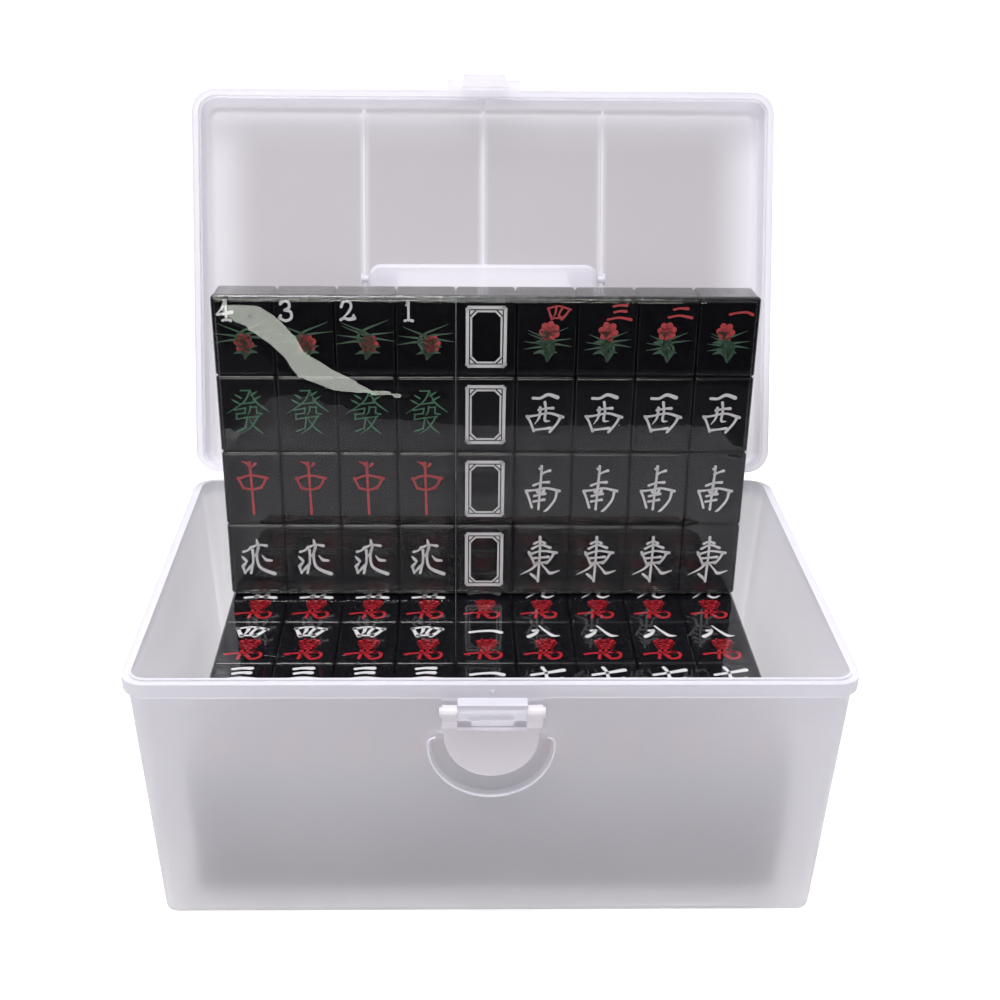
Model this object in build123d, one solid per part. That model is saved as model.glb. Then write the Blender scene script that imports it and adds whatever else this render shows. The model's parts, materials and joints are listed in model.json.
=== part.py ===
from build123d import *
import math
import os

# Mahjong case: a moulded frosted polypropylene box with a hinged tray lid, a front
# flip latch and a carrying handle, holding four film-wrapped packs of 36 tiles.
# Millimetres, +Z up, front is -Y, origin on the ground under the middle of the box.
# The lid is built shut and then turned open about its hinge.

# ---------------------------------------------------------------- sizes
MERGE = 0.5            # how far joined shapes run into each other

# box
RIM_W = 308.0          # over the rim flange, left to right
RIM_D = 201.0          # over the rim flange, front to back
RIM_Z = 130.0          # top face of the rim flange
RIM_R = 11.0           # corner radius of the rim flange in plan
FLANGE_OUT = 2.2       # how far the flange stands out of the wall
FLANGE_H = 7.0
FLANGE_BEVEL = 0.6
DRAFT = 1.65           # wall draft, degrees
WALL = 2.0
FLOOR = 2.6
BOTTOM_FILLET = 5.0
LIP_T = 1.4            # raised lip inside the rim
LIP_H = 0.8

# lid tray
LID_OVER = 1.0         # lid edge past the box flange at the front and sides
LID_GAP = 0.3          # between rim faces when shut
LID_H = 22.5
LID_PANEL = 2.0
LID_EDGE_R = 6.0       # outer rounding between lid wall and panel
LID_FLANGE_H = 5.0
REBATE_H = 3.2         # step in the lid that takes the lip
LIP_CLEAR = 0.35
RIB_X = 65.0           # outer stiffening ribs
RIB_T = 1.2
RIB_H = 3.0
OPEN_DEG = 115.0       # how far the lid is open at its stop

# handle trough in the lid panel, with the lid shut
TROUGH_HALF = 62.5
TROUGH_FRONT = -12.2
TROUGH_BACK = 31.8
TROUGH_DEPTH = 12.0
TROUGH_R = 7.0         # corners in plan
TROUGH_EDGE_R = 2.5    # rounding round its floor

# hinges
HINGE_IN = 59.0        # middle of each hinge in from the rim's side
HINGE_OUT = 2.8        # pin line behind the flange
KNUCKLE_R = 2.6
LID_KNUCKLE_W = 13.4
BOX_KNUCKLE_W = 6.0
KNUCKLE_GAP = 0.3
HINGE_PIN_R = 1.0
PIN_FIT = 0.04         # running clearance on the radius
PIN_HEAD = 0.9         # rivet head: its height, and its edge past the pin
PIN_HEAD_GAP = 0.1
STOP_GAP = 0.3         # between the open lid's wall and the tails it leans on
STOP_FROM = 8.0        # the tails meet the lid's wall between these heights
STOP_TO = 17.5
TAIL_T = 4.0
TAIL_ROOT = 18.0       # depth of the tail where it leaves the wall
TAIL_MID = 10.0        # depth of the tail under the pin

# latch
BLOCK_HALF = 14.3
BLOCK_H = 7.1
BLOCK_OUT = 5.6        # in front of the flange edge
NUB_HALF = 8.7
NUB_H = 3.2
NUB_BACK = 1.0
PIVOT_DROP = 11.1      # pivot below the rim face
PIVOT_OUT = 3.5        # pivot in front of the flange edge
EAR_GAP = 0.3
EAR_W = 6.3
EAR_R = 3.0
LATCH_PIN_R = 1.3
FLAP_HALF = 20.0
FLAP_LEN = 35.4        # pivot to tip
FLAP_T = 2.4
FLAP_BACK = 3.2        # how far the plate lies behind the pivot line
FLAP_EDGE_R = 0.8
BAR_R = 11.6           # pivot to the near edge of the plate
TONGUE_HALF = 19.7
TONGUE_OUT = 6.3
TONGUE_T = 2.5
LUG_HALF = 11.3
LUG_DROP = 5.4         # below the lid's rim face
LUG_SET = 1.2          # behind the tongue's tip
LUG_GAP = 1.5          # in front of the box flange
TOE_OUT = 7.8
TOE_DROP = 0.9         # top of the toe below the lid's rim face

# finger recess behind the flap
RECESS_R = 26.8
RECESS_DROP = 33.4     # circle centre below the rim face
RECESS_TOP = 4.9       # flat top above that centre
RECESS_DEPTH = 3.8
RECESS_TAPER = 14.0
RECESS_CORNER = 3.0

# handle
HANDLE_GAP = 3.5       # trough's side wall to the handle's arm
HANDLE_ARM_W = 9.0
HANDLE_T = 6.5
GRIP_GAP = 1.3         # trough's back wall to the folded grip
GRIP_W = 11.0
GRIP_EDGE_R = 2.2
HANDLE_CORNER = 14.0
HANDLE_EYE_R = 4.6
HANDLE_PIVOT_IN = 7.2  # pivot behind the trough's front
HANDLE_PIVOT_DROP = 5.6  # pivot below the lid's top face
HANDLE_PIN_R = 2.0
HANDLE_PIN_HEAD = 1.2

# tiles and film
TILE_W = 30.0          # pitch across
TILE_L = 40.0          # pitch along
TILE_T = 24.0
TILE_GAP = 0.1
TILE_FILLET = 1.7
COLS = 9
ROWS = 4
FILM = 0.2
FILM_CLEAR = 0.05
FILM_END = 12.0        # film turned in round each open end of a pack, along it
FILM_TURN = 5.0        # the same, across its thickness
PACK_GAP = 0.15        # between one pack and the next
LEAN_DEG = 4.5         # how far the standing pack leans back
WALL_GAP = 0.35        # standing pack to the rim behind it
TIP_SHIFT = 2.0        # how far back the standing pack draws as it is laid down

# ---------------------------------------------------------------- derived
slope = math.tan(math.radians(DRAFT))
flange_low = RIM_Z - FLANGE_H
flange_y = RIM_D / 2
wall_top_x = RIM_W / 2 - FLANGE_OUT
wall_top_y = RIM_D / 2 - FLANGE_OUT
wall_r = RIM_R - FLANGE_OUT
lid_z0 = RIM_Z + LID_GAP
lid_z1 = lid_z0 + LID_H
panel_low = lid_z1 - LID_PANEL
hinge_y = flange_y + HINGE_OUT
hinge_z = RIM_Z + LID_GAP / 2
hinge_x = RIM_W / 2 - HINGE_IN
hinge_axis = Axis((0, hinge_y, hinge_z), (1, 0, 0))
pivot_y = -flange_y - PIVOT_OUT
pivot_z = RIM_Z - PIVOT_DROP
block_low = flange_low - BLOCK_H
ear_in = BLOCK_HALF + EAR_GAP
ear_out = ear_in + EAR_W
handle_pivot_y = TROUGH_FRONT + HANDLE_PIVOT_IN
handle_pivot_z = lid_z1 - HANDLE_PIVOT_DROP
handle_half = TROUGH_HALF - WALL - HANDLE_GAP
handle_reach = TROUGH_BACK - WALL - GRIP_GAP - GRIP_W / 2 - handle_pivot_y
pack_w = COLS * TILE_W - TILE_GAP + 2 * (FILM + FILM_CLEAR)
pack_l = ROWS * TILE_L - TILE_GAP + 2 * (FILM + FILM_CLEAR)
pack_t = TILE_T + 2 * (FILM + FILM_CLEAR)


# ---------------------------------------------------------------- shapes used throughout
def outline(half_x, half_y, radius, z, y=0.0):
    """Rounded rectangle on a level plane."""
    return Plane.XY.offset(z) * Pos(0, y) * RectangleRounded(2 * half_x, 2 * half_y, radius)


def rim_outline(inset, z):
    """The box wall's top outline, moved in by a distance, on a level plane."""
    return outline(wall_top_x - inset, wall_top_y - inset, max(wall_r - inset, WALL), z)


def lid_outline(inset, z):
    """The lid wall's rim outline, moved in by a distance.  Its back edge lines up with the box."""
    half_x = wall_top_x + LID_OVER - inset
    half_y = wall_top_y + LID_OVER / 2 - inset
    return outline(half_x, half_y, max(wall_r + LID_OVER - inset, WALL), z, -LID_OVER / 2)


def loft_between(low, high):
    return Solid.make_loft([low.wire(), high.wire()], ruled=True)


def block(x0, x1, y0, y1, z0, z1):
    return Pos((x0 + x1) / 2, (y0 + y1) / 2, (z0 + z1) / 2) * Box(abs(x1 - x0), abs(y1 - y0), abs(z1 - z0))


def rod(radius, x0, x1, y, z):
    """Cylinder along X."""
    return Pos((x0 + x1) / 2, y, z) * Rot(0, 90, 0) * Cylinder(radius, abs(x1 - x0))


def side_profile(points, x0, x1):
    """Closed outline given in (y, z), made solid from x0 to x1."""
    wire = Polyline([(x0, y, z) for y, z in points], close=True)
    return extrude(make_face(wire), amount=x1 - x0, dir=(1, 0, 0))


def opened(shape):
    """From the shut position to the open one."""
    return shape.rotate(hinge_axis, -OPEN_DEG)


def bottom_edges(shape):
    return shape.faces().sort_by(Axis.Z)[0].edges()


def top_edges(shape):
    return shape.faces().sort_by(Axis.Z)[-1].edges()


# ---------------------------------------------------------------- box
def box_outer():
    shell = loft_between(rim_outline(flange_low * slope, 0), rim_outline(0, flange_low))
    shell = fillet(bottom_edges(shell), BOTTOM_FILLET)
    return shell + extrude(rim_outline(0, flange_low), amount=FLANGE_H)


def box_inner():
    low = rim_outline(WALL + (flange_low - FLOOR) * slope, FLOOR)
    void = fillet(bottom_edges(loft_between(low, rim_outline(WALL, flange_low))), BOTTOM_FILLET - WALL)
    return void + extrude(rim_outline(WALL, flange_low), amount=FLANGE_H + LIP_H + 1.0)


def box_flange():
    flange = extrude(outline(RIM_W / 2, RIM_D / 2, RIM_R, flange_low), amount=FLANGE_H)
    return chamfer(bottom_edges(flange), FLANGE_BEVEL)


def box_lip():
    return extrude(rim_outline(WALL - LIP_T, RIM_Z - MERGE), amount=LIP_H + MERGE)


def latch_block():
    """The block that carries the latch pin, its nub, and the thicker rim over the ears."""
    wall_y = -wall_top_y + WALL / 2
    main = block(-BLOCK_HALF, BLOCK_HALF, -flange_y - BLOCK_OUT, wall_y, block_low, flange_low + MERGE)
    nub_y = -flange_y - BLOCK_OUT + NUB_BACK
    nub = block(-NUB_HALF, NUB_HALF, nub_y, wall_y, block_low - NUB_H, block_low + MERGE)
    bulge = block(-ear_out, ear_out, -flange_y, wall_y, pivot_z + EAR_R + EAR_GAP, flange_low + MERGE)
    return main + nub + bulge


def recess_sketch(grow):
    """Circle cut flat across its top, corners rounded."""
    radius = RECESS_R + grow
    above = Pos(0, RECESS_TOP + grow + radius) * Rectangle(4 * radius, 2 * radius)
    shape = Circle(radius) - above
    return fillet(shape.vertices(), RECESS_CORNER + grow / 2)


def finger_recess(grow):
    """Dished pocket in the front wall, as a solid that reaches in from the wall's face."""
    plane = Plane(origin=(0, -wall_top_y, RIM_Z - RECESS_DROP), x_dir=(1, 0, 0), z_dir=(0, -1, 0))
    wall_back = (RECESS_DROP - FLANGE_H) * slope
    dish = extrude(plane * recess_sketch(grow), amount=-(RECESS_DEPTH + wall_back + grow), taper=RECESS_TAPER)
    return dish + extrude(plane * recess_sketch(grow), amount=2 * FLANGE_OUT)


def open_point(ahead, up):
    """Shut-lid point ahead of and above the pin line, after opening, as (y, z)."""
    back = math.radians(OPEN_DEG - 90)
    y = ahead * math.sin(back) + up * math.cos(back)
    z = ahead * math.cos(back) - up * math.sin(back)
    return (hinge_y + y, hinge_z + z)


def stop_point(height):
    """Point that stays STOP_GAP off the open lid's back wall, at a height on the lid."""
    ahead = HINGE_OUT + FLANGE_OUT + height * slope
    return open_point(ahead - STOP_GAP, height)


def hinge_tail():
    """Bracket under the pin that runs back to the lid's stop, as (y, z) points."""
    wall_y = wall_top_y - WALL / 2
    under_rim = RIM_Z - MERGE
    near = stop_point(STOP_FROM)
    far = stop_point(STOP_TO)
    return [
        (wall_y, under_rim),
        (hinge_y, under_rim),
        near,
        far,
        (far[0], far[1] - TAIL_T),
        (hinge_y, hinge_z - TAIL_MID),
        (wall_y, hinge_z - TAIL_ROOT),
    ]


def hinge_brackets():
    offset = LID_KNUCKLE_W / 2 + KNUCKLE_GAP + BOX_KNUCKLE_W / 2
    parts = []
    for middle in (-hinge_x, hinge_x):
        for x in (middle - offset, middle + offset):
            x0, x1 = x - BOX_KNUCKLE_W / 2, x + BOX_KNUCKLE_W / 2
            parts.append(side_profile(hinge_tail(), x0, x1))
            parts.append(rod(KNUCKLE_R, x0, x1, hinge_y, hinge_z))
    return parts


def hinge_bores(radius):
    reach = LID_KNUCKLE_W / 2 + KNUCKLE_GAP + BOX_KNUCKLE_W + 1.0
    return [rod(radius, x - reach, x + reach, hinge_y, hinge_z) for x in (-hinge_x, hinge_x)]


def make_case_body():
    outer = box_outer()
    body = outer + box_flange() + box_lip() + latch_block()
    body -= box_inner()
    body += finger_recess(WALL) & outer
    body -= finger_recess(0)
    body += hinge_brackets()
    body -= hinge_bores(HINGE_PIN_R + PIN_FIT / 2)
    return body - rod(LATCH_PIN_R + PIN_FIT / 2, -ear_in, ear_in, pivot_y, pivot_z)


# ---------------------------------------------------------------- lid, built shut
def lid_shell():
    outer = loft_between(lid_outline(0, lid_z0), lid_outline(LID_H * slope, lid_z1))
    outer = fillet(top_edges(outer), LID_EDGE_R)
    depth = LID_H - LID_PANEL
    inner = loft_between(lid_outline(WALL - slope, lid_z0 - 1.0), lid_outline(WALL + depth * slope, panel_low))
    inner = fillet(top_edges(inner), LID_EDGE_R - WALL)
    flange = extrude(lid_outline(-FLANGE_OUT, lid_z0), amount=LID_FLANGE_H)
    flange = chamfer(top_edges(flange), FLANGE_BEVEL)
    rebate = extrude(rim_outline(WALL - LIP_T - LIP_CLEAR, lid_z0 - 1.0), amount=REBATE_H + 1.0)
    return outer + flange - inner - rebate


def trough_shape(grow, z0, z1, edge_r):
    """Rounded pocket shape between two heights, larger all round by grow."""
    mid_y = (TROUGH_FRONT + TROUGH_BACK) / 2
    half_y = (TROUGH_BACK - TROUGH_FRONT) / 2
    plan = outline(TROUGH_HALF - WALL + grow, half_y - WALL + grow, TROUGH_R - WALL + grow, z0, mid_y)
    shape = extrude(plan, amount=z1 - z0)
    return fillet(bottom_edges(shape), edge_r)


def lid_ribs():
    """Three ribs under the panel, the middle one stopping at the trough and turned down the front wall."""
    low = panel_low - RIB_H
    high = panel_low + MERGE
    front = -wall_top_y - LID_OVER + LID_EDGE_R / 2
    back = wall_top_y - LID_EDGE_R / 2
    half = RIB_T / 2
    ribs = [block(x - half, x + half, front, back, low, high) for x in (-RIB_X, RIB_X)]
    ribs.append(block(-half, half, front, TROUGH_FRONT + WALL / 2, low, high))
    ribs.append(block(-half, half, TROUGH_BACK - WALL / 2, back, low, high))
    wall_y = -wall_top_y - LID_OVER + WALL / 2
    ribs.append(block(-half, half, wall_y, wall_y + RIB_H, lid_z0 + REBATE_H + 1.0, panel_low))
    return ribs


def tongue():
    """Tongue on the front edge, with the lug and toe that the latch bar hooks."""
    tip = -flange_y - TONGUE_OUT
    plate = block(-TONGUE_HALF, TONGUE_HALF, tip, -flange_y, lid_z0, lid_z0 + TONGUE_T)
    lug = block(-LUG_HALF, LUG_HALF, tip + LUG_SET, -flange_y - LUG_GAP, lid_z0 - LUG_DROP, lid_z0 + MERGE)
    toe = block(-LUG_HALF, LUG_HALF, -flange_y - TOE_OUT, -flange_y - LUG_GAP, lid_z0 - LUG_DROP, lid_z0 - TOE_DROP)
    return plate + lug + toe


def lid_knuckles():
    half = LID_KNUCKLE_W / 2
    parts = []
    for x in (-hinge_x, hinge_x):
        parts.append(block(x - half, x + half, flange_y - MERGE, hinge_y, lid_z0, hinge_z + KNUCKLE_R))
        parts.append(rod(KNUCKLE_R, x - half, x + half, hinge_y, hinge_z))
    return parts


def make_lid():
    floor_z = lid_z1 - TROUGH_DEPTH
    lid = lid_shell()
    lid += trough_shape(WALL, floor_z - LID_PANEL, panel_low + MERGE, TROUGH_EDGE_R)
    lid += lid_ribs()
    lid -= trough_shape(0, floor_z, lid_z1 + 1.0, TROUGH_EDGE_R - 1.0)
    lid += tongue()
    lid += lid_knuckles()
    lid -= hinge_bores(HINGE_PIN_R + PIN_FIT)
    # the handle pins pass through the trough's end walls and the ribs beside them
    reach = max(TROUGH_HALF, RIB_X + RIB_T / 2) + 1.0
    for side in (-1, 1):
        ends = (side * (TROUGH_HALF - WALL - 1.0), side * reach)
        lid -= rod(HANDLE_PIN_R + PIN_FIT / 2, *ends, handle_pivot_y, handle_pivot_z)
    return opened(lid)


# ---------------------------------------------------------------- pins
def riveted_pin(radius, head, x0, x1, y, z):
    """Wire pin from x0 to x1 with a low head on both ends."""
    x0, x1 = min(x0, x1), max(x0, x1)
    heads = rod(radius + head, x0 - PIN_HEAD, x0, y, z) + rod(radius + head, x1, x1 + PIN_HEAD, y, z)
    return rod(radius, x0, x1, y, z) + heads


def hinge_pin(x):
    half = LID_KNUCKLE_W / 2 + KNUCKLE_GAP + BOX_KNUCKLE_W + PIN_HEAD_GAP
    return riveted_pin(HINGE_PIN_R, PIN_HEAD, x - half, x + half, hinge_y, hinge_z)


def handle_pin(side):
    inner = handle_half - HANDLE_ARM_W - 2 * PIN_HEAD_GAP
    outer = max(TROUGH_HALF, RIB_X + RIB_T / 2) + PIN_HEAD_GAP
    pin = riveted_pin(HANDLE_PIN_R, HANDLE_PIN_HEAD, side * inner, side * outer, handle_pivot_y, handle_pivot_z)
    return opened(pin)


# ---------------------------------------------------------------- latch flap, hanging
def flap_arm():
    """Side view of an ear and the arm that joins it to the plate, as (y, z) points."""
    face = FLAP_BACK + FLAP_T
    points = [
        (-EAR_R, 0.0),
        (EAR_R, 0.0),
        (face, -EAR_R - FLAP_T),
        (face, -BAR_R - FLAP_T / 2),
        (FLAP_BACK, -BAR_R - FLAP_T / 2),
        (FLAP_BACK, -BAR_R + FLAP_T / 2),
        (-EAR_R, -EAR_R),
    ]
    return [(pivot_y + y, pivot_z + z) for y, z in points]


def make_latch_flap():
    plane = Plane(origin=(0, pivot_y + FLAP_BACK + FLAP_T, pivot_z), x_dir=(1, 0, 0), z_dir=(0, -1, 0))
    middle = FLAP_LEN - FLAP_HALF
    sketch = Pos(0, -middle) * Circle(FLAP_HALF)
    sketch += Pos(0, -middle / 2) * Rectangle(2 * FLAP_HALF, middle)
    sketch -= Pos(0, -BAR_R + FLAP_LEN / 2) * Rectangle(4 * FLAP_HALF, FLAP_LEN)
    flap = extrude(plane * sketch, amount=FLAP_T)
    for x0, x1 in ((-ear_out, -ear_in), (ear_in, ear_out)):
        flap += side_profile(flap_arm(), x0, x1) + rod(EAR_R, x0, x1, pivot_y, pivot_z)
    flap -= rod(LATCH_PIN_R + PIN_FIT, -ear_out - 1.0, ear_out + 1.0, pivot_y, pivot_z)
    tip_edges = flap.edges().filter_by(GeomType.CIRCLE).filter_by(lambda e: abs(e.radius - FLAP_HALF) < 0.01)
    return fillet(tip_edges, FLAP_EDGE_R)


# ---------------------------------------------------------------- handle, hanging plumb from the open lid
def make_carry_handle():
    """Bail whose arms hang from the pins, its grip at the bottom."""
    outer_l = handle_reach + GRIP_W / 2
    inner_l = handle_reach - GRIP_W / 2
    inner_half = handle_half - HANDLE_ARM_W
    bail = RectangleRounded(2 * handle_half, 2 * outer_l, HANDLE_CORNER)
    bail -= RectangleRounded(2 * inner_half, 2 * inner_l, HANDLE_CORNER - GRIP_W / 2)
    bail -= Pos(0, outer_l) * Rectangle(3 * handle_half, 2 * outer_l)
    handle = extrude(Plane.XY.offset(-HANDLE_T / 2) * bail, amount=HANDLE_T)
    for x0, x1 in ((-handle_half, -inner_half), (inner_half, handle_half)):
        handle += rod(HANDLE_EYE_R, x0, x1, 0, 0)
        handle -= rod(HANDLE_PIN_R + PIN_FIT, x0 - 1.0, x1 + 1.0, 0, 0)
    long_edges = handle.edges().filter_by(GeomType.LINE).filter_by(Axis.X)
    handle = fillet(long_edges.filter_by(lambda e: e.length > inner_half), GRIP_EDGE_R)
    y, z = open_point(hinge_y - handle_pivot_y, handle_pivot_z - hinge_z)
    return Pos(0, y, z) * Rot(90, 0, 0) * handle


# ---------------------------------------------------------------- tile packs
def film_sleeve():
    """Shrink film round one pack, open in a slot at each end, centred on the pack."""
    shell = Box(pack_w, pack_l, pack_t)
    shell = fillet(shell.edges(), TILE_FILLET)
    void = Box(pack_w - 2 * FILM, pack_l - 2 * FILM, pack_t - 2 * FILM)
    void = fillet(void.edges(), TILE_FILLET - FILM)
    opening = SlotOverall(pack_l - 2 * FILM_END, pack_t - 2 * FILM_TURN, rotation=90)
    return shell - void - Rot(0, 90, 0) * extrude(opening, amount=pack_w, both=True)


def cell(col, row):
    """Middle of a tile in its pack: columns from the left, rows from the back."""
    return Pos((col - (COLS - 1) / 2) * TILE_W, ((ROWS - 1) / 2 - row) * TILE_L, 0)


def suit_layout(prefix):
    """(column, row) cells of each number: 5 down to 2, a column of ones, then 9 down to 6."""
    middle = COLS // 2
    groups = {f"{prefix}_1": [(middle, row) for row in range(ROWS)]}
    for row in range(ROWS):
        groups[f"{prefix}_{ROWS + 1 - row}"] = [(col, row) for col in range(middle)]
        groups[f"{prefix}_{2 * ROWS + 1 - row}"] = [(col, row) for col in range(middle + 1, COLS)]
    return groups


def honours_layout():
    """Winds, dragons, flowers and seasons, four of each."""
    middle = COLS // 2
    left = ["tiles_season", "tiles_green_dragon", "tiles_red_dragon", "tiles_north_wind"]
    right = ["tiles_flower", "tiles_west_wind", "tiles_south_wind", "tiles_east_wind"]
    groups = {"tiles_white_dragon": [(middle, row) for row in range(ROWS)]}
    for row in range(ROWS):
        groups[left[row]] = [(col, row) for col in range(middle)]
        groups[right[row]] = [(col, row) for col in range(middle + 1, COLS)]
    return groups


pack_pitch = pack_t + PACK_GAP
stack_top = FLOOR + 3 * pack_pitch

# The standing pack leans on the rim's lip and stands on the top pack's back edge.
# Its back face passes WALL_GAP in front of the lip's top inner edge, and its sole
# passes PACK_GAP above the back edge of the top pack: the heel is where the two meet.
lean = math.radians(LEAN_DEG)
foot_z = stack_top + PACK_GAP
lip_y = wall_top_y - WALL - WALL_GAP / math.cos(lean)
along_sole = (lip_y - pack_l / 2) * math.cos(lean) - (RIM_Z + LIP_H - foot_z) * math.sin(lean)
heel = (pack_l / 2 + along_sole * math.cos(lean), foot_z - along_sole * math.sin(lean))


def standing(part):
    """A pack laid face up, centred, turned to stand with its face to the front and its first row on top."""
    upright = Pos(0, -pack_t / 2, pack_l / 2) * part.rotate(Axis.X, 90)
    return Pos(0, *heel) * upright.rotate(Axis.X, -LEAN_DEG)


def lying(level):
    """A pack laid face up in the stack, level 0 on the floor."""
    z = FLOOR + PACK_GAP + pack_t / 2 + level * pack_pitch
    return lambda part: Pos(0, 0, z) * part


def pack_nodes(layout, film_name, place):
    nodes = {name: [place(cell(col, row) * tile) for col, row in cells] for name, cells in layout.items()}
    nodes[film_name] = [place(film_sleeve())]
    return nodes


tile = Box(TILE_W - TILE_GAP, TILE_L - TILE_GAP, TILE_T)
tile = fillet(tile.edges(), TILE_FILLET)

# ---------------------------------------------------------------- all nodes
nodes = {
    "case_body": [make_case_body()],
    "lid": [make_lid()],
    "hinge_pin_left": [hinge_pin(-hinge_x)],
    "hinge_pin_right": [hinge_pin(hinge_x)],
    "latch_flap": [make_latch_flap()],
    "latch_pin": [
        riveted_pin(LATCH_PIN_R, PIN_HEAD, -ear_out - PIN_HEAD_GAP, ear_out + PIN_HEAD_GAP, pivot_y, pivot_z)
    ],
    "carry_handle": [make_carry_handle()],
    "handle_pin_left": [handle_pin(-1)],
    "handle_pin_right": [handle_pin(1)],
}
nodes.update(pack_nodes(suit_layout("tiles_bamboo"), "film_bamboo", lying(0)))
nodes.update(pack_nodes(suit_layout("tiles_circle"), "film_circle", lying(1)))
nodes.update(pack_nodes(suit_layout("tiles_character"), "film_character", lying(2)))
nodes.update(pack_nodes(honours_layout(), "film_honours", standing))

os.makedirs("parts", exist_ok=True)
for name, shapes in nodes.items():
    solids = [solid for shape in shapes for solid in shape.solids()]
    export_step(solids[0] if len(solids) == 1 else Compound(children=solids), f"parts/{name}.step")
    print(name, len(solids), round(sum(solid.volume for solid in solids)))

# The standing pack tips forward about a line just behind and above its front foot edge,
# so that it comes down flat with its far end TIP_SHIFT back from where it would fall.
foot_edge = (heel[0] - pack_t * math.cos(lean), heel[1] + pack_t * math.sin(lean))
tip = math.radians(90 + LEAN_DEG)
move_y = TIP_SHIFT
move_z = foot_z - foot_edge[1]
k = 1 - math.cos(tip)
s = math.sin(tip)
scale = k * k + s * s
tip_axis = (foot_edge[0] + (k * move_y - s * move_z) / scale, foot_edge[1] + (s * move_y + k * move_z) / scale)
handle_pivot = open_point(hinge_y - handle_pivot_y, handle_pivot_z - hinge_z)
print("hinge", hinge_y, hinge_z)
print("latch pivot", pivot_y, pivot_z)
print("handle pivot", handle_pivot)
print("tip axis", tip_axis, "far end when down", foot_edge[0] + TIP_SHIFT - pack_l)
print("heel", heel, "front foot edge", foot_edge, "stack top", stack_top)
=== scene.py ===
# %% [markdown]
# # Mahjong case with film-wrapped tiles
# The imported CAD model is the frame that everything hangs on: the frosted box and lid,
# the latch, the handle and 144 separate tiles.  Blender adds what CAD leaves out: the
# carved and painted marks on the tiles, the wrinkled shrink film round each pack, and
# the materials.  Units are metres, +Z up, and the latch side of the case faces -Y.

# %% Load the frame
import bpy
import json
import math
import numpy as np
from mathutils import Matrix, Vector, noise


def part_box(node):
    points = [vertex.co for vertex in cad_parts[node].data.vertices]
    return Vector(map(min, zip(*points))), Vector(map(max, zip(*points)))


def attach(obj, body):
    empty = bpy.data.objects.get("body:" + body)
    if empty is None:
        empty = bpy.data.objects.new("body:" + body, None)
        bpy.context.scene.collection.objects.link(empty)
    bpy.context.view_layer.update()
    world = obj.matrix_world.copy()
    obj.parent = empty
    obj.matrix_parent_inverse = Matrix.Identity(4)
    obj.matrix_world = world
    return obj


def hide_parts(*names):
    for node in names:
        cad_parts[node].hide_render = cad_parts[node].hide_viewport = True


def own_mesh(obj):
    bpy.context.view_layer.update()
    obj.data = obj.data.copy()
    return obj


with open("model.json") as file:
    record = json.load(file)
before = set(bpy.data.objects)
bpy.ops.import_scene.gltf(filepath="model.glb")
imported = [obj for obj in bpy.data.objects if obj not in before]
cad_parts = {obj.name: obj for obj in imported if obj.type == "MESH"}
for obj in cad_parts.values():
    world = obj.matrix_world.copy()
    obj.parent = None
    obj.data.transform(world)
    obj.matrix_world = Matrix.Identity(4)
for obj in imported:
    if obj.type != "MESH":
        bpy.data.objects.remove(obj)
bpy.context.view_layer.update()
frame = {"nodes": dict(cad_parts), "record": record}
MM = 0.001
print("CAD nodes:", len(frame["nodes"]))

# %% [markdown]
# ## Colours and nodes
# Colours are written as the sRGB hex values that a screen shows.  Blender's shaders
# work in linear light, so one function converts them.  A second small function adds
# any kind of node, sets its sockets and links what is linked.

# %% Two helpers for materials
def colour(hex_value):
    """sRGB hex such as '#d8d8dc' to linear RGBA."""
    channels = [int(hex_value[i:i + 2], 16) / 255 for i in (1, 3, 5)]
    return [c / 12.92 if c <= 0.04045 else ((c + 0.055) / 1.055) ** 2.4 for c in channels] + [1.0]


def add_node(tree, kind, inputs=None, **settings):
    """Adds one node.  A value in inputs is either a plain value or another node's output to link."""
    new = tree.nodes.new(kind)
    for name, value in settings.items():
        setattr(new, name, value)
    for name, value in (inputs or {}).items():
        if isinstance(value, bpy.types.NodeSocket):
            tree.links.new(value, new.inputs[name])
        else:
            new.inputs[name].default_value = value
    return new


def new_material(name):
    material = bpy.data.materials.new(name)
    material.use_nodes = True
    material.node_tree.nodes.clear()
    return material, material.node_tree


def grain(tree, size_mm, detail=2.0):
    """Noise texture on object coordinates whose lumps are about size_mm across."""
    place = add_node(tree, "ShaderNodeTexCoord")
    return add_node(tree, "ShaderNodeTexNoise", {
        "Vector": place.outputs["Object"],
        "Scale": 1 / (size_mm * MM),
        "Detail": detail,
    })


print("sRGB #808080 is", round(colour("#808080")[0], 3), "in linear light")

# %% [markdown]
# ## Frosted polypropylene
# The box and lid are injection-moulded natural polypropylene with a fine spark texture.
# The plastic is cloudy: part of the light scatters inside it and part goes straight on,
# blurred, so the dark packs show through the wall as a soft shape.  Scattered light is
# a little bluer than the light that comes straight through.  Real volume scattering
# would be slow and noisy in a thin wall, so the surface does the work: a milky shader
# and a clear rough one are mixed, with a little translucency that glows when light
# comes from behind.  Shadow rays pass in part, so the packs stay lit.

# %% Clouded plastic
FROST_GRAIN_MM = 0.5      # spark texture, drawn at the finest size that shows
CLOUD_MM = 60             # slow change of cloudiness across a moulding
SPARK_DEEP = 0.04 * MM
SPARK_STRENGTH = 0.2
SMOOTHER, ROUGHER = 0.04, 0.05          # spread of the roughness that the cloudiness gives
POLYPROPYLENE_IOR = 1.49
GLOW_SHARE = 0.16         # light that arrives from behind and leaves scattered
SHADOW_PASS = [0.66, 0.66, 0.67, 1.0]   # per face, so a wall lets through the square of it
COOL = [0.975, 0.97, 1.045, 1.0]        # cast of the scattered light


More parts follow.
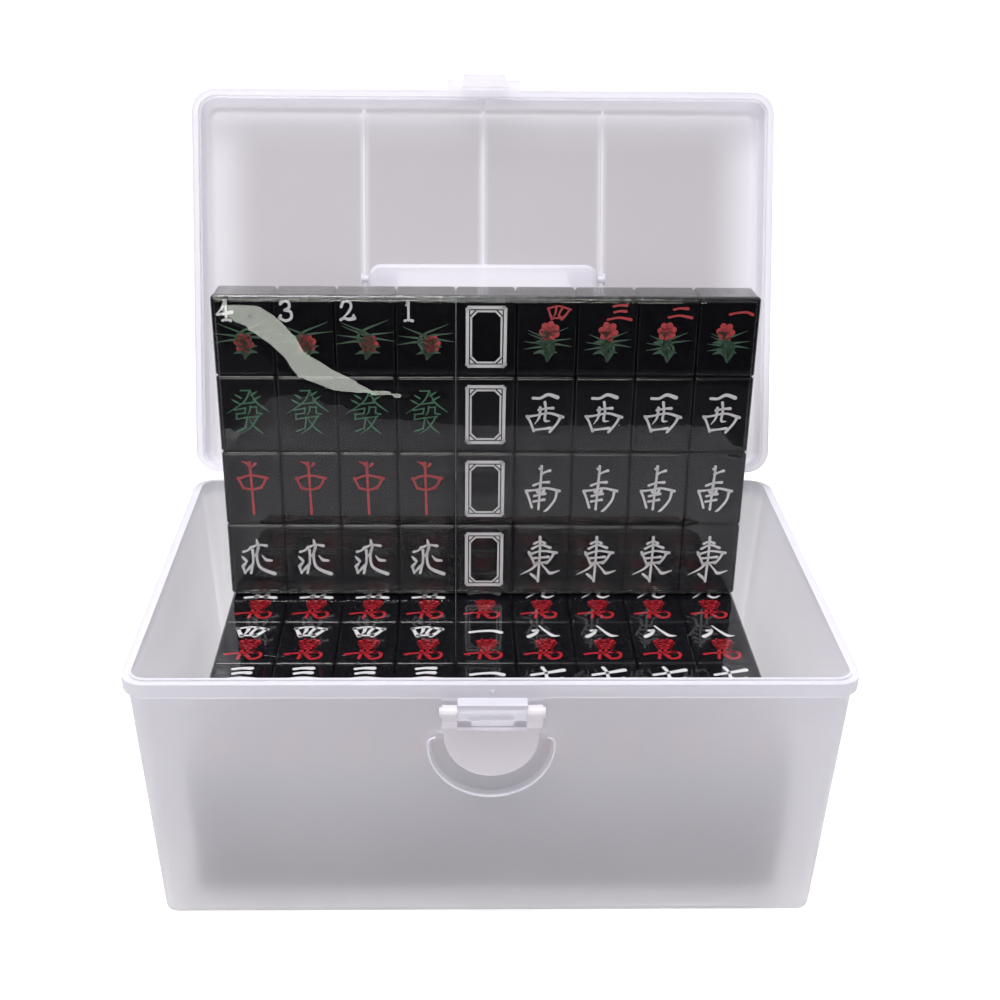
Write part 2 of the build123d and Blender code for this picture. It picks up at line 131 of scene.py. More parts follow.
def clouded_plastic(name, tint, clear_share, rough, masks=None):
    """Polypropylene.  masks, if given, returns sockets for the colour and the clear share."""
    material, tree = new_material(name)
    fine = grain(tree, FROST_GRAIN_MM)
    cloud = grain(tree, CLOUD_MM, 3.0)
    bump = add_node(tree, "ShaderNodeBump", {
        "Height": fine.outputs["Fac"], "Strength": SPARK_STRENGTH, "Distance": SPARK_DEEP,
    })
    roughness = add_node(tree, "ShaderNodeMapRange", {
        "Value": cloud.outputs["Fac"], "From Min": 0.3, "From Max": 0.7,
        "To Min": rough - SMOOTHER, "To Max": rough + ROUGHER,
    })
    tint_in, clear_in = colour(tint), clear_share
    cool_in = [a * b for a, b in zip(tint_in, COOL)]
    if masks:
        tint_in, clear_in = masks(tree)
        cool = add_node(tree, "ShaderNodeVectorMath", {0: tint_in, 1: COOL[:3]}, operation="MULTIPLY")
        cool_in = cool.outputs[0]
    shared = {
        "Roughness": roughness.outputs["Result"], "IOR": POLYPROPYLENE_IOR, "Normal": bump.outputs["Normal"],
    }
    milky = add_node(tree, "ShaderNodeBsdfPrincipled", {"Base Color": cool_in, **shared})
    clear = add_node(tree, "ShaderNodeBsdfPrincipled", {
        "Base Color": tint_in, "Transmission Weight": 1.0, **shared,
    })
    body = add_node(tree, "ShaderNodeMixShader", {0: clear_in, 1: milky.outputs[0], 2: clear.outputs[0]})
    glow = add_node(tree, "ShaderNodeBsdfTranslucent", {"Color": tint_in})
    cloudy = add_node(tree, "ShaderNodeMixShader", {0: GLOW_SHARE, 1: body.outputs[0], 2: glow.outputs[0]})
    passing = add_node(tree, "ShaderNodeBsdfTransparent", {"Color": SHADOW_PASS})
    path = add_node(tree, "ShaderNodeLightPath")
    last = add_node(tree, "ShaderNodeMixShader", {
        0: path.outputs["Is Shadow Ray"], 1: cloudy.outputs[0], 2: passing.outputs[0],
    })
    add_node(tree, "ShaderNodeOutputMaterial", {"Surface": last.outputs[0]})
    return material


print("spark grain", FROST_GRAIN_MM, "mm, clouds", CLOUD_MM, "mm")

# %% [markdown]
# ## Thick and thin places
# A moulding is clearest where it is thin.  The rim flange, the latch block, the lid's
# walls, ribs and trough and the outer part of its panel are milky.  The middle of the
# panel and the box's walls are clearer, and the box's walls get thinner towards the
# floor.  Wall thickness could be measured by ray casts, but the shape is simple, so a
# mask in each material says how thin the plastic is at a point.  It is worked out from
# distances to the hinge line and the rim, which are read from the frame.  On the lid the
# same mask also sets the colour: the edges, ribs and side walls get a painted glow and
# the middle of the panel gets painted shade.  The box gets painted shade on its back
# wall and its rounded lower edge.

# %% Helpers for the masks
def distance_along(tree, way, start):
    """How far a point of the surface is from start along the direction way, in metres."""
    place = add_node(tree, "ShaderNodeTexCoord")
    moved = add_node(tree, "ShaderNodeVectorMath", {
        0: place.outputs["Object"], 1: tuple(start),
    }, operation="SUBTRACT")
    return add_node(tree, "ShaderNodeVectorMath", {
        0: moved.outputs[0], 1: tuple(way),
    }, operation="DOT_PRODUCT").outputs["Value"]


def soft_step(tree, value, start, end):
    """0 before start, 1 after end, smooth between."""
    return add_node(tree, "ShaderNodeMapRange", {
        "Value": value, "From Min": start, "From Max": end,
    }, interpolation_type="SMOOTHSTEP").outputs["Result"]


def both(tree, first, second):
    """Product of two values."""
    return add_node(tree, "ShaderNodeMath", {0: first, 1: second}, operation="MULTIPLY").outputs[0]


def at_least(tree, value, least):
    """Squeezes 0..1 into least..1."""
    return add_node(tree, "ShaderNodeMapRange", {
        "Value": value, "To Min": least, "To Max": 1.0,
    }).outputs["Result"]


def off_from(tree, value, middle_at):
    """Distance of value from middle_at."""
    off = add_node(tree, "ShaderNodeMath", {0: value, 1: middle_at}, operation="SUBTRACT").outputs[0]
    return add_node(tree, "ShaderNodeMath", {0: off}, operation="ABSOLUTE").outputs[0]


def thick_to_thin(tree, mask, lit_thick_hex, shaded_thin_hex, thick_clear, thin_clear):
    """Colour and clear share that follow a mask, 0 where the plastic is thick and 1 where it is thin.  The
    clear share follows the thickness; the lighter thick colour is a painted glow and the darker thin colour
    is painted shade.
    """
    tint = add_node(tree, "ShaderNodeMix", {
        0: mask, 6: colour(lit_thick_hex), 7: colour(shaded_thin_hex),
    }, data_type="RGBA")
    share = add_node(tree, "ShaderNodeMapRange", {"Value": mask, "To Min": thick_clear, "To Max": thin_clear})
    return tint.outputs[2], share.outputs["Result"]


print("helpers:", ", ".join(f.__name__ for f in (distance_along, soft_step, both, at_least, off_from)))

# %% Mask of the box
RIM_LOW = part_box("case_body")[1].z - 8.4 * MM      # under the flange
RIM_FADE = 0.8 * MM
RIM_SHARE = 0.46          # how thin the walls count at the rim, where 1 is the floor
WALL_FRONT = -98.7 * MM   # the flange and the latch block stand out of this
FRONT_FADE = 0.4 * MM
WALL_BACK = 97 * MM       # painted shade makes the back wall a darker grey
BACK_FADE = 8 * MM
BACK_SHARE = 0.8          # of the colour
FOOT_R = 4 * MM           # and painted shade darkens the rounded lower edge too
FOOT_SHARE = 0.7


def box_walls(tree):
    height = distance_along(tree, (0, 0, 1), (0, 0, 0))
    depth = distance_along(tree, (0, 1, 0), (0, 0, 0))
    wall = soft_step(tree, height, RIM_LOW + RIM_FADE, RIM_LOW)
    mask = both(tree, wall, soft_step(tree, depth, WALL_FRONT - FRONT_FADE, WALL_FRONT))
    low = add_node(tree, "ShaderNodeMapRange", {
        "Value": height, "From Min": 0, "From Max": RIM_LOW, "To Min": 1.0, "To Max": RIM_SHARE,
    }).outputs["Result"]
    tint, clear = thick_to_thin(tree, both(tree, mask, low), "#f1f0f2", "#efedef", 0.42, 0.87)
    # Painted shade: the back wall and the rounded lower edge are made darker than the rest of the box.
    back = add_node(tree, "ShaderNodeMapRange", {
        "Value": soft_step(tree, depth, WALL_BACK - BACK_FADE, WALL_BACK),
        "To Min": 1.0, "To Max": BACK_SHARE,
    }).outputs["Result"]
    foot = add_node(tree, "ShaderNodeMapRange", {
        "Value": soft_step(tree, height, FOOT_R, 0), "To Min": 1.0, "To Max": FOOT_SHARE,
    }).outputs["Result"]
    darker = both(tree, back, foot)
    tint = add_node(tree, "ShaderNodeVectorMath", {0: tint, 1: darker}, operation="MULTIPLY").outputs[0]
    return tint, clear


print("walls from the floor to", round(RIM_LOW / MM, 1), "mm")

# %% Mask of the lid
LID_LEAN = math.radians(25)
LID_LENGTH = 203 * MM
LID_HALF = 151 * MM
PANEL_IN = 20.3 * MM      # inner face of the lid's panel, from the rim's plane
PANEL_STEP = 2.6 * MM, 0.2 * MM         # the panel's mask starts and is full this far before it
PANEL_FADE = 30 * MM
RIB_OUT = 65 * MM         # outer ribs from the middle
RIB_CORE = 0.6 * MM
RIB_GLOW = 3.5 * MM
EDGE_LEAST, RIB_LEAST, SIDE_LEAST = 0.36, 0.5, 0.12     # the mask at the panel's edge, a rib and a side wall
hinge = next(j for j in frame["record"]["behaviour"]["joints"] if j["name"] == "lid_hinge")
hinge_at = Vector(hinge["pos_m"])
lid_along = Vector((0, math.sin(LID_LEAN), math.cos(LID_LEAN)))
lid_out = Vector((0, math.cos(LID_LEAN), -math.sin(LID_LEAN)))
print("hinge line, mm:", [round(v / MM, 1) for v in hinge_at])


def lid_walls(tree):
    along = distance_along(tree, lid_along, hinge_at)
    above = distance_along(tree, lid_out, hinge_at)
    side = off_from(tree, distance_along(tree, (1, 0, 0), (0, 0, 0)), 0.0)
    panel = soft_step(tree, along, 0, PANEL_FADE)
    panel = both(tree, panel, soft_step(tree, along, LID_LENGTH, LID_LENGTH - PANEL_FADE))
    panel = both(tree, panel, soft_step(tree, side, LID_HALF, LID_HALF - PANEL_FADE))
    ribs = soft_step(tree, side, RIB_CORE, RIB_GLOW)
    ribs = both(tree, ribs, soft_step(tree, off_from(tree, side, RIB_OUT), RIB_CORE, RIB_GLOW))
    inside = soft_step(tree, above, PANEL_IN - PANEL_STEP[0], PANEL_IN - PANEL_STEP[1])
    mask = both(tree, at_least(tree, panel, EDGE_LEAST), at_least(tree, ribs, RIB_LEAST))
    mask = both(tree, mask, at_least(tree, inside, SIDE_LEAST))
    # Painted light: the lighter panel edges, ribs and side walls are a painted glow, and the greyer middle of
    # each panel is painted shade.  The clear share follows the plastic's thickness.
    return thick_to_thin(tree, mask, "#f2f0f2", "#bfbbbe", 0.48, 0.72)


case_plastic = clouded_plastic("frosted_polypropylene_box", "#e9e8eb", 0.7, 0.40, box_walls)
lid_plastic = clouded_plastic("frosted_polypropylene_lid", "#e9e8eb", 0.7, 0.40, lid_walls)

# %% [markdown]
# ## Fittings
# The flip latch, its pin, the handle and the handle's pins are satin polypropylene
# mouldings.  They are thicker than the walls, so less of the light goes straight
# through: the same function makes them, with a smaller clear share and a lower
# roughness.  Only the hinge pins are steel.  Drawn wire has a fine lengthwise grain,
# which a noise texture in the roughness is enough for at this size.

# %% Fitting materials
latch_plastic = clouded_plastic("satin_polypropylene_latch", "#f0ecec", 0.30, 0.34)
handle_plastic = clouded_plastic("satin_polypropylene_handle", "#f0eef0", 0.30, 0.34)


def drawn_steel():
    material, tree = new_material("drawn_steel_wire")
    streaks = grain(tree, 0.6)
    roughness = add_node(tree, "ShaderNodeMapRange", {
        "Value": streaks.outputs["Fac"], "To Min": 0.22, "To Max": 0.4,
    })
    body = add_node(tree, "ShaderNodeBsdfPrincipled", {
        "Base Color": colour("#b9bbbe"), "Metallic": 1.0, "Roughness": roughness.outputs["Result"],
    })
    add_node(tree, "ShaderNodeOutputMaterial", {"Surface": body.outputs[0]})
    return material


pin_steel = drawn_steel()
print("fittings:", latch_plastic.name, handle_plastic.name, pin_steel.name)

# %% [markdown]
# ## Tiles and paint
# The tiles are black melamine, pressed and tumble-polished: nearly black, with a
# clear but slightly soft reflection.  The IOR is the usual 1.5 of a hard plastic.  The
# dulled polish takes some strength from the reflection, so the specular level is below
# its usual half.  The marks are carved and filled with enamel by hand.  A flat colour
# would look printed, so noise runs between a full colour and a worn one.

# %% Tile and paint materials
def pressed_melamine():
    material, tree = new_material("polished_black_melamine")
    haze = grain(tree, 6.0)
    roughness = add_node(tree, "ShaderNodeMapRange", {
        "Value": haze.outputs["Fac"], "From Min": 0.3, "From Max": 0.7, "To Min": 0.09, "To Max": 0.14,
    })
    body = add_node(tree, "ShaderNodeBsdfPrincipled", {
        "Base Color": colour("#100f14"), "Roughness": roughness.outputs["Result"],
        "IOR": 1.5, "Specular IOR Level": 0.34,
    })
    add_node(tree, "ShaderNodeOutputMaterial", {"Surface": body.outputs[0]})
    return material


BRUSH_DEEP = 0.05 * MM    # unevenness of the brushed enamel


def enamel(name, hex_value, worn_hex):
    """Carved marks filled by brush: the colour is a little uneven."""
    material, tree = new_material(name)
    uneven = grain(tree, 2.2, 3.0)
    mixed = add_node(tree, "ShaderNodeMix", {
        0: uneven.outputs["Fac"], 6: colour(worn_hex), 7: colour(hex_value),
    }, data_type="RGBA")
    bump = add_node(tree, "ShaderNodeBump", {
        "Height": uneven.outputs["Fac"], "Strength": 0.2, "Distance": BRUSH_DEEP,
    })
    body = add_node(tree, "ShaderNodeBsdfPrincipled", {
        "Base Color": mixed.outputs[2], "Roughness": 0.42, "Normal": bump.outputs["Normal"],
    })
    add_node(tree, "ShaderNodeOutputMaterial", {"Surface": body.outputs[0]})
    return material


tile_black = pressed_melamine()
paints = {
    "white": enamel("white_enamel", "#e4e2e6", "#cfcdd2"),
    "red": enamel("red_enamel", "#c41c2c", "#9a1422"),
    "green": enamel("green_enamel", "#2f7452", "#235a3f"),
    "dark_green": enamel("dark_green_enamel", "#1f4f35", "#163b28"),
}
print("paints:", ", ".join(paints))

# %% [markdown]
# ## Shrink film
# Each pack is wrapped in clear polyolefin film, shrunk tight with hot air.  Film is
# too thin to bend light, so it is a mix of plain transparency and a sharp reflection
# whose strength follows Fresnel's law.  Only the outside of the sheet reflects here:
# the inner face would otherwise act as a mirror at a slant, as the inside of a solid
# block does, which film is not.  The sheet made further down carries its slack at
# each point as an attribute, and a bump turns that into folds for the light.

# %% Film material
FILM_IOR = 1.45           # polyolefin is about 1.5, and the sheet shows a little less
SLACK = "slack_m"         # name of the attribute: how far the film stands off, in metres


def shrink_film():
    material, tree = new_material("clear_shrink_film")
    clear = add_node(tree, "ShaderNodeBsdfTransparent", {"Color": [0.985, 0.985, 0.98, 1.0]})
    haze = grain(tree, 25.0)
    roughness = add_node(tree, "ShaderNodeMapRange", {
        "Value": haze.outputs["Fac"], "From Min": 0.3, "From Max": 0.7, "To Min": 0.015, "To Max": 0.04,
    })
    slack = add_node(tree, "ShaderNodeAttribute", attribute_name=SLACK)
    folds = add_node(tree, "ShaderNodeBump", {
        "Height": slack.outputs["Fac"], "Strength": 1.0, "Distance": 1.0,
    })
    gloss = add_node(tree, "ShaderNodeBsdfGlossy", {
        "Color": [1, 1, 1, 1], "Roughness": roughness.outputs["Result"], "Normal": folds.outputs["Normal"],
    })
    fresnel = add_node(tree, "ShaderNodeFresnel", {"IOR": FILM_IOR, "Normal": folds.outputs["Normal"]})
    sides = add_node(tree, "ShaderNodeNewGeometry")
    outside = add_node(tree, "ShaderNodeMath", {0: 1.0, 1: sides.outputs["Backfacing"]}, operation="SUBTRACT")
    share = both(tree, fresnel.outputs[0], outside.outputs[0])
    mixed = add_node(tree, "ShaderNodeMixShader", {0: share, 1: clear.outputs[0], 2: gloss.outputs[0]})
    add_node(tree, "ShaderNodeOutputMaterial", {"Surface": mixed.outputs[0]})
    return material


film_clear = shrink_film()
print("film:", film_clear.name, "IOR", FILM_IOR)

# %% [markdown]
# ## Dressing the frame
# Every CAD node takes the material of the part that it is.  The node names say which,
# so a loop over them is enough, and no node is left in the CAD's plain grey.

# %% Materials onto the CAD nodes
def dress(node_name, material):
    slots = frame["nodes"][node_name].data.materials
    slots.clear()
    slots.append(material)


dress("case_body", case_plastic)
dress("lid", lid_plastic)
dress("latch_flap", latch_plastic)
dress("carry_handle", handle_plastic)
dress("latch_pin", latch_plastic)
for name in frame["nodes"]:
    if name.startswith("hinge_pin"):
        dress(name, pin_steel)
    elif name.startswith("handle_pin"):
        dress(name, handle_plastic)
    elif name.startswith("tiles_"):
        dress(name, tile_black)
    elif name.startswith("film_"):
        dress(name, film_clear)
dressed = [name for name in frame["nodes"] if frame["nodes"][name].data.materials]
print(len(dressed), "nodes dressed")

# %% [markdown]
# ## Trim on the front wall
# The finger recess has a fine raised bead along its outline, and the flange above the
# latch shows the low round mark of the mould's gate.  Both are too fine for the CAD,
# so they are drawn here and ride on the box.  A curve with a bevel would make the
# bead too.  A tube built point by point is as short and gives the final mesh at once.

# %% Outline of the recess
RECESS_R = 26.8 * MM
RECESS_Z = 96.6 * MM      # middle of its round part
RECESS_FLAT = 4.9 * MM    # its straight top, above that middle
RECESS_CORNER = 3.0 * MM
BEND_STEPS = 6            # points round a small corner
ROUND_STEPS = 60          # and round the large arc
DRAFT = math.radians(1.65)
WALL_TOP = Vector((0, -98.3 * MM, 123 * MM))      # front wall's face under the flange
wall_up = Vector((0, -math.sin(DRAFT), math.cos(DRAFT)))
wall_out = Vector((0, -math.cos(DRAFT), -math.sin(DRAFT)))


def on_front_wall(x, z):
    return WALL_TOP + Vector((x, 0, 0)) + wall_up * ((z - WALL_TOP.z) / math.cos(DRAFT))


def recess_outline():
    """Round below, straight on top, with a small radius at the two corners."""
    drop = RECESS_FLAT - RECESS_CORNER
    reach = math.sqrt((RECESS_R - RECESS_CORNER) ** 2 - drop ** 2)
    lean = math.atan2(drop, reach)
    points = []
    for k in range(BEND_STEPS + 1):              # left corner
        angle = math.pi / 2 + (math.pi / 2 - lean) * k / BEND_STEPS
        points.append((-reach + RECESS_CORNER * math.cos(angle), drop + RECESS_CORNER * math.sin(angle)))
    for k in range(1, ROUND_STEPS):              # round part, left to right
        angle = math.pi - lean + (math.pi + 2 * lean) * k / ROUND_STEPS
        points.append((RECESS_R * math.cos(angle), RECESS_R * math.sin(angle)))
    for k in range(BEND_STEPS + 1):              # right corner
        angle = lean + (math.pi / 2 - lean) * k / BEND_STEPS
        points.append((reach + RECESS_CORNER * math.cos(angle), drop + RECESS_CORNER * math.sin(angle)))
    return [on_front_wall(x, RECESS_Z + z) for x, z in points]


line = recess_outline()
print("recess outline", len(line), "points,", round((line[-1] - line[0]).length / MM, 1), "mm across its top")

# %% Recess bead
BOX_BODY = "case"
BEAD_R = 0.5 * MM
SIDES = 10                # round the bead
bead_plastic = clouded_plastic("frosted_polypropylene_bead", "#eeedf0", 0.25, 0.34)


def trim_piece(name, points, faces):
    """A small piece of plastic that rides on the box."""
    mesh = bpy.data.meshes.new(name)
    mesh.from_pydata(points, [], faces)
    mesh.materials.append(bead_plastic)
    mesh.polygons.foreach_set("use_smooth", [True] * len(mesh.polygons))
    piece = bpy.data.objects.new(name, mesh)
    bpy.context.scene.collection.objects.link(piece)
    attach(piece, BOX_BODY)
    print(name, len(faces), "faces")


points, faces = [], []
for k, p in enumerate(line):
    run = (line[min(k + 1, len(line) - 1)] - line[max(k - 1, 0)]).normalized()
    across = run.cross(wall_out)
    for j in range(SIDES):
        turn = 2 * math.pi * j / SIDES
        points.append(p + across * (BEAD_R * math.cos(turn)) + wall_out * (BEAD_R * math.sin(turn)))
for k in range(len(line) - 1):
    for j in range(SIDES):
        a, b = k * SIDES + j, k * SIDES + (j + 1) % SIDES
        faces.append((a, b, b + SIDES, a + SIDES))
faces += [tuple(range(SIDES)), tuple(reversed(range(len(points) - SIDES, len(points))))]
trim_piece("recess_bead", points, faces)

# %% Gate mark
GATE_R = 1.5 * MM
GATE_AT = Vector((0.2, -100.5, 126.5)) * MM
GATE_SIDES = 16
points = [GATE_AT + Vector((0, -0.25 * MM, 0))]
for radius, depth in ((0.8 * GATE_R, -0.2 * MM), (GATE_R, 0.1 * MM)):
    for j in range(GATE_SIDES):
        turn = 2 * math.pi * j / GATE_SIDES
        points.append(GATE_AT + Vector((radius * math.cos(turn), depth, radius * math.sin(turn))))
inner = [1 + j for j in range(GATE_SIDES)]
outer = [j + GATE_SIDES for j in inner]
after = [(j + 1) % GATE_SIDES for j in range(GATE_SIDES)]
faces = [(0, inner[j], inner[after[j]]) for j in range(GATE_SIDES)]
faces += [(inner[j], outer[j], outer[after[j]], inner[after[j]]) for j in range(GATE_SIDES)]
faces.append(tuple(reversed(outer)))
trim_piece("gate_mark", points, faces)

# %% [markdown]
# ## Where the packs are
# Every pack has the same plan: nine columns and four rows, with one kind of tile
# filling four cells.  The middles of the four corner kinds give the pack's own axes,
# whether it lies in the box or leans on the rim.  They are measured on the frame, not
# written down, so the marks stay on their tiles when a pack moves in the CAD.

# %% Pack axes, measured on the frame
COLS = 9
ROWS = 4
KIND_GAP = 5              # columns from the left group's middle to the right group's


def middle(node_name):
    low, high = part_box(node_name)
    return (low + high) / 2


def pack_axes(top_left, top_right, low_left, low_right):
    """Matrix of a pack: origin in its middle, X across, Y towards the first row, Z out of the faces."""
    across = (middle(top_right) - middle(top_left)).normalized()
    up = (middle(top_left) - middle(low_left)).normalized()
    out = across.cross(up)
    origin = (middle(top_left) + middle(low_right)) / 2
    axes = Matrix((across, up, out)).transposed().to_4x4()
    return Matrix.Translation(origin) @ axes


suits = ("bamboo", "circle", "character")
packs = {s: pack_axes(f"tiles_{s}_5", f"tiles_{s}_9", f"tiles_{s}_2", f"tiles_{s}_6") for s in suits}
packs["honours"] = pack_axes("tiles_season", "tiles_flower", "tiles_north_wind", "tiles_east_wind")
TILE_W = (middle("tiles_bamboo_9") - middle("tiles_bamboo_5")).length / KIND_GAP
TILE_L = (middle("tiles_bamboo_5") - middle("tiles_bamboo_2")).length / (ROWS - 1)
low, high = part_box("tiles_bamboo_1")
TILE_T = high.z - low.z
print("tile pitch and thickness, mm:", round(TILE_W / MM, 2), round(TILE_L / MM, 2), round(TILE_T / MM, 2))


def cell_middle(col, row):
    return Vector(((col - (COLS - 1) / 2) * TILE_W, ((ROWS - 1) / 2 - row) * TILE_L, 0))


# %% [markdown]
# ## Brush strokes
# The carved signs follow brush writing, where each kind of stroke swells and thins in
# its own way.  A stroke here is a short list of points in a square of 100 by 100 and
# the name of its kind, which gives the widths along it.  The points are joined by a
# smooth curve, and the stroke becomes a thin raised strip of enamel.  A font would be
# quicker, but it needs a file and draws type, not carving, and paint on a texture
# would have no edge for the light to catch.

# %% Stroke shapes
BRUSH = {
    "bar": (1.0, 0.72, 0.78, 1.15),
    "post": (1.1, 0.85, 0.85, 0.95),
    "sweep": (1.1, 0.95, 0.7, 0.2),
    "press": (0.45, 0.8, 1.25, 0.35),
    "dot": (0.35, 1.2, 0.9),
    "hook": (1.05, 0.85, 0.9, 0.95, 0.3),
    "even": (1.0, 1.0),
    "bold": (1.05, 0.95, 1.15, 1.45),
}
STEPS = 5                 # strip lengths between two points of a stroke
PAINT_UP = 0.035 * MM     # enamel stands this far out of the tile's face
PAINT_DOWN = 0.3 * MM


def smooth_path(points):
    """Catmull-Rom curve through the points, as a list of 2-D points."""
    pts = [np.array(p, float) for p in points]
    if len(pts) == 2:
        return [pts[0] + (pts[1] - pts[0]) * i / STEPS for i in range(STEPS + 1)]
    ends = [2 * pts[0] - pts[1]] + pts + [2 * pts[-1] - pts[-2]]
    path = []
    for a, b, c, d in zip(ends, ends[1:], ends[2:], ends[3:]):
        for i in range(STEPS):
            t = i / STEPS
            square, cube = 2 * a - 5 * b + 4 * c - d, 3 * b - a - 3 * c + d
            path.append(0.5 * (2 * b + (c - a) * t + square * t ** 2 + cube * t ** 3))
    return path + [pts[-1]]


def rounded(path, half):
    """Adds a round cap of two steps at both ends of a path with half widths."""
    for _ in range(2):
        way = path[0] - path[1]
        way = way / np.linalg.norm(way) * half[0]
        path = np.concatenate([[path[0] + way * 0.95, path[0] + way * 0.6], path])[::-1]
        half = np.concatenate([[half[0] * 0.3, half[0] * 0.8], half])[::-1]
    return path, half


print(len(BRUSH), "kinds of stroke")

# %% Marks of one colour
class Marks:
    """Collects strips and discs of one colour for one pack, and makes them one mesh."""

    def __init__(self):
        self.points = []
        self.faces = []

    def prism(self, ring):
        """Closed ring of 2-D points in metres, raised into a thin plate."""
        start = len(self.points)
        count = len(ring)
        for z in (TILE_T / 2 + PAINT_UP, TILE_T / 2 - PAINT_DOWN):
            self.points += [(x, y, z) for x, y in ring]
        self.faces.append([start + i for i in range(count)])
        self.faces.append([start + count + i for i in reversed(range(count))])
        for i in range(count):
            j = (i + 1) % count
            self.faces.append([start + i, start + count + i, start + count + j, start + j])

    def strip(self, path, widths, round_ends=False):
        """Ribbon along a path, its width given at even steps along it."""
        path = np.array(path)
        along = np.linspace(0, 1, len(path))
        half = np.interp(along, np.linspace(0, 1, len(widths)), widths)[:, None] / 2
        if round_ends:
            path, half = rounded(path, half)
        run = np.gradient(path, axis=0)
        length = np.maximum(np.linalg.norm(run, axis=1, keepdims=True), 1e-9)
        side = np.stack([-run[:, 1], run[:, 0]], 1) / length
        left = path + side * half
        right = path - side * half
        start = len(self.points)
        count = len(path)
        for z in (TILE_T / 2 + PAINT_UP, TILE_T / 2 - PAINT_DOWN):
            for edge in (left, right):
                self.points += [(x, y, z) for x, y in edge]
        top_l, top_r, low_l, low_r = (start + k * count for k in range(4))
        for i in range(count - 1):
            self.faces.append([top_r + i, top_r + i + 1, top_l + i + 1, top_l + i])
            self.faces.append([low_l + i, low_l + i + 1, low_r + i + 1, low_r + i])
            self.faces.append([top_l + i, top_l + i + 1, low_l + i + 1, low_l + i])
            self.faces.append([low_r + i, low_r + i + 1, top_r + i + 1, top_r + i])
        self.faces.append([top_l, low_l, low_r, top_r])
        end = count - 1
        self.faces.append([top_r + end, low_r + end, low_l + end, top_l + end])

    def sign(self, strokes, centre, width, height, pen):
        """Draws a list of (kind, points) strokes in a box of width by height round centre."""
        for kind, points in strokes:
            path = [
                ((x - 50) / 100 * width + centre[0], (y - 50) / 100 * height + centre[1])
                for x, y in smooth_path(points)
            ]
            self.strip(path, [w * pen for w in BRUSH[kind]], True)

    def ring(self, centre, radius, pen, squash=1.0, sides=28):
        """Round line."""
        turn = np.linspace(0, 2 * math.pi, sides + 1)
        path = np.stack([centre[0] + radius * np.cos(turn), centre[1] + radius * squash * np.sin(turn)], 1)
        self.strip(path, (pen, pen))

    def disc(self, centre, radius, squash=1.0, tilt=0.0, sides=14):
        """Filled round or oval spot."""
        turn = np.linspace(0, 2 * math.pi, sides, endpoint=False)
        x, y = radius * np.cos(turn), radius * squash * np.sin(turn)
        ring = np.stack([centre[0] + x * math.cos(tilt) - y * math.sin(tilt),
                         centre[1] + x * math.sin(tilt) + y * math.cos(tilt)], 1)
        self.prism([tuple(p) for p in ring])

    def build(self, name, material, pack, slot):
        mesh = bpy.data.meshes.new(name)
        mesh.from_pydata([packs[pack] @ Vector(p) for p in self.points], [], self.faces)
        mesh.materials.append(material)
        piece = bpy.data.objects.new(name, mesh)
        bpy.context.scene.collection.objects.link(piece)
        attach(piece, f"pack_{pack}")
        print(name, len(self.faces), "faces")
        return piece


# %% [markdown]
# ## The signs
# These are the traditional mahjong signs, written in regular script: numerals one to
# nine, ten thousand, the four winds and two dragons.  Level strokes rise to the
# right, and wide shapes flare into points.  Each sign is a list of brush strokes, in
# the order in which they are written, so that a stroke can be found and changed.

# %% Numerals
SIGNS = {
    "1": [("bold", [(1, 30), (30, 52), (72, 62), (99, 28)])],
    "2": [("bold", [(20, 74), (45, 84), (80, 82)]), ("bold", [(0, 16), (45, 30), (99, 14)])],
    "3": [
        ("bold", [(22, 88), (48, 95), (78, 94)]), ("bold", [(26, 52), (50, 60), (76, 58)]),
        ("bold", [(0, 8), (50, 20), (99, 8)]),
    ],
    "4": [
        ("bold", [(4, 80), (12, 40), (21, 6)]), ("bar", [(2, 76), (48, 94), (99, 70)]),
        ("bold", [(95, 70), (80, 34), (63, 6)]), ("bar", [(20, 10), (64, 14)]),
        ("sweep", [(38, 84), (36, 50), (28, 22)]), ("hook", [(66, 86), (54, 50), (50, 28), (60, 22)]),
    ],
    "5": [
        ("bar", [(22, 86), (48, 92), (80, 90)]), ("bold", [(50, 90), (42, 50), (36, 12)]),
        ("bold", [(24, 50), (50, 58), (74, 54), (68, 12)]), ("bold", [(0, 6), (48, 15), (99, 6)]),
    ],
    "6": [
        ("dot", [(44, 99), (56, 82)]), ("bold", [(0, 58), (50, 70), (98, 62)]),
        ("sweep", [(38, 50), (28, 24), (6, 4)]), ("press", [(60, 50), (76, 26), (95, 6)]),
    ],
    "7": [
        ("bold", [(0, 40), (44, 56), (98, 78)]),
        ("hook", [(34, 98), (44, 60), (46, 18), (70, 8), (94, 22)]),
    ],
    "8": [
        ("bold", [(30, 60), (24, 34), (2, 5)]), ("dot", [(30, 60), (16, 56)]),
        ("press", [(38, 98), (58, 50), (78, 14), (99, 12)]),
    ],
    "9": [
        ("sweep", [(40, 98), (34, 50), (4, 4)]), ("hook", [(10, 62), (66, 72), (60, 26), (76, 8), (98, 28)]),
    ],
}
print("numerals:", " ".join(SIGNS))

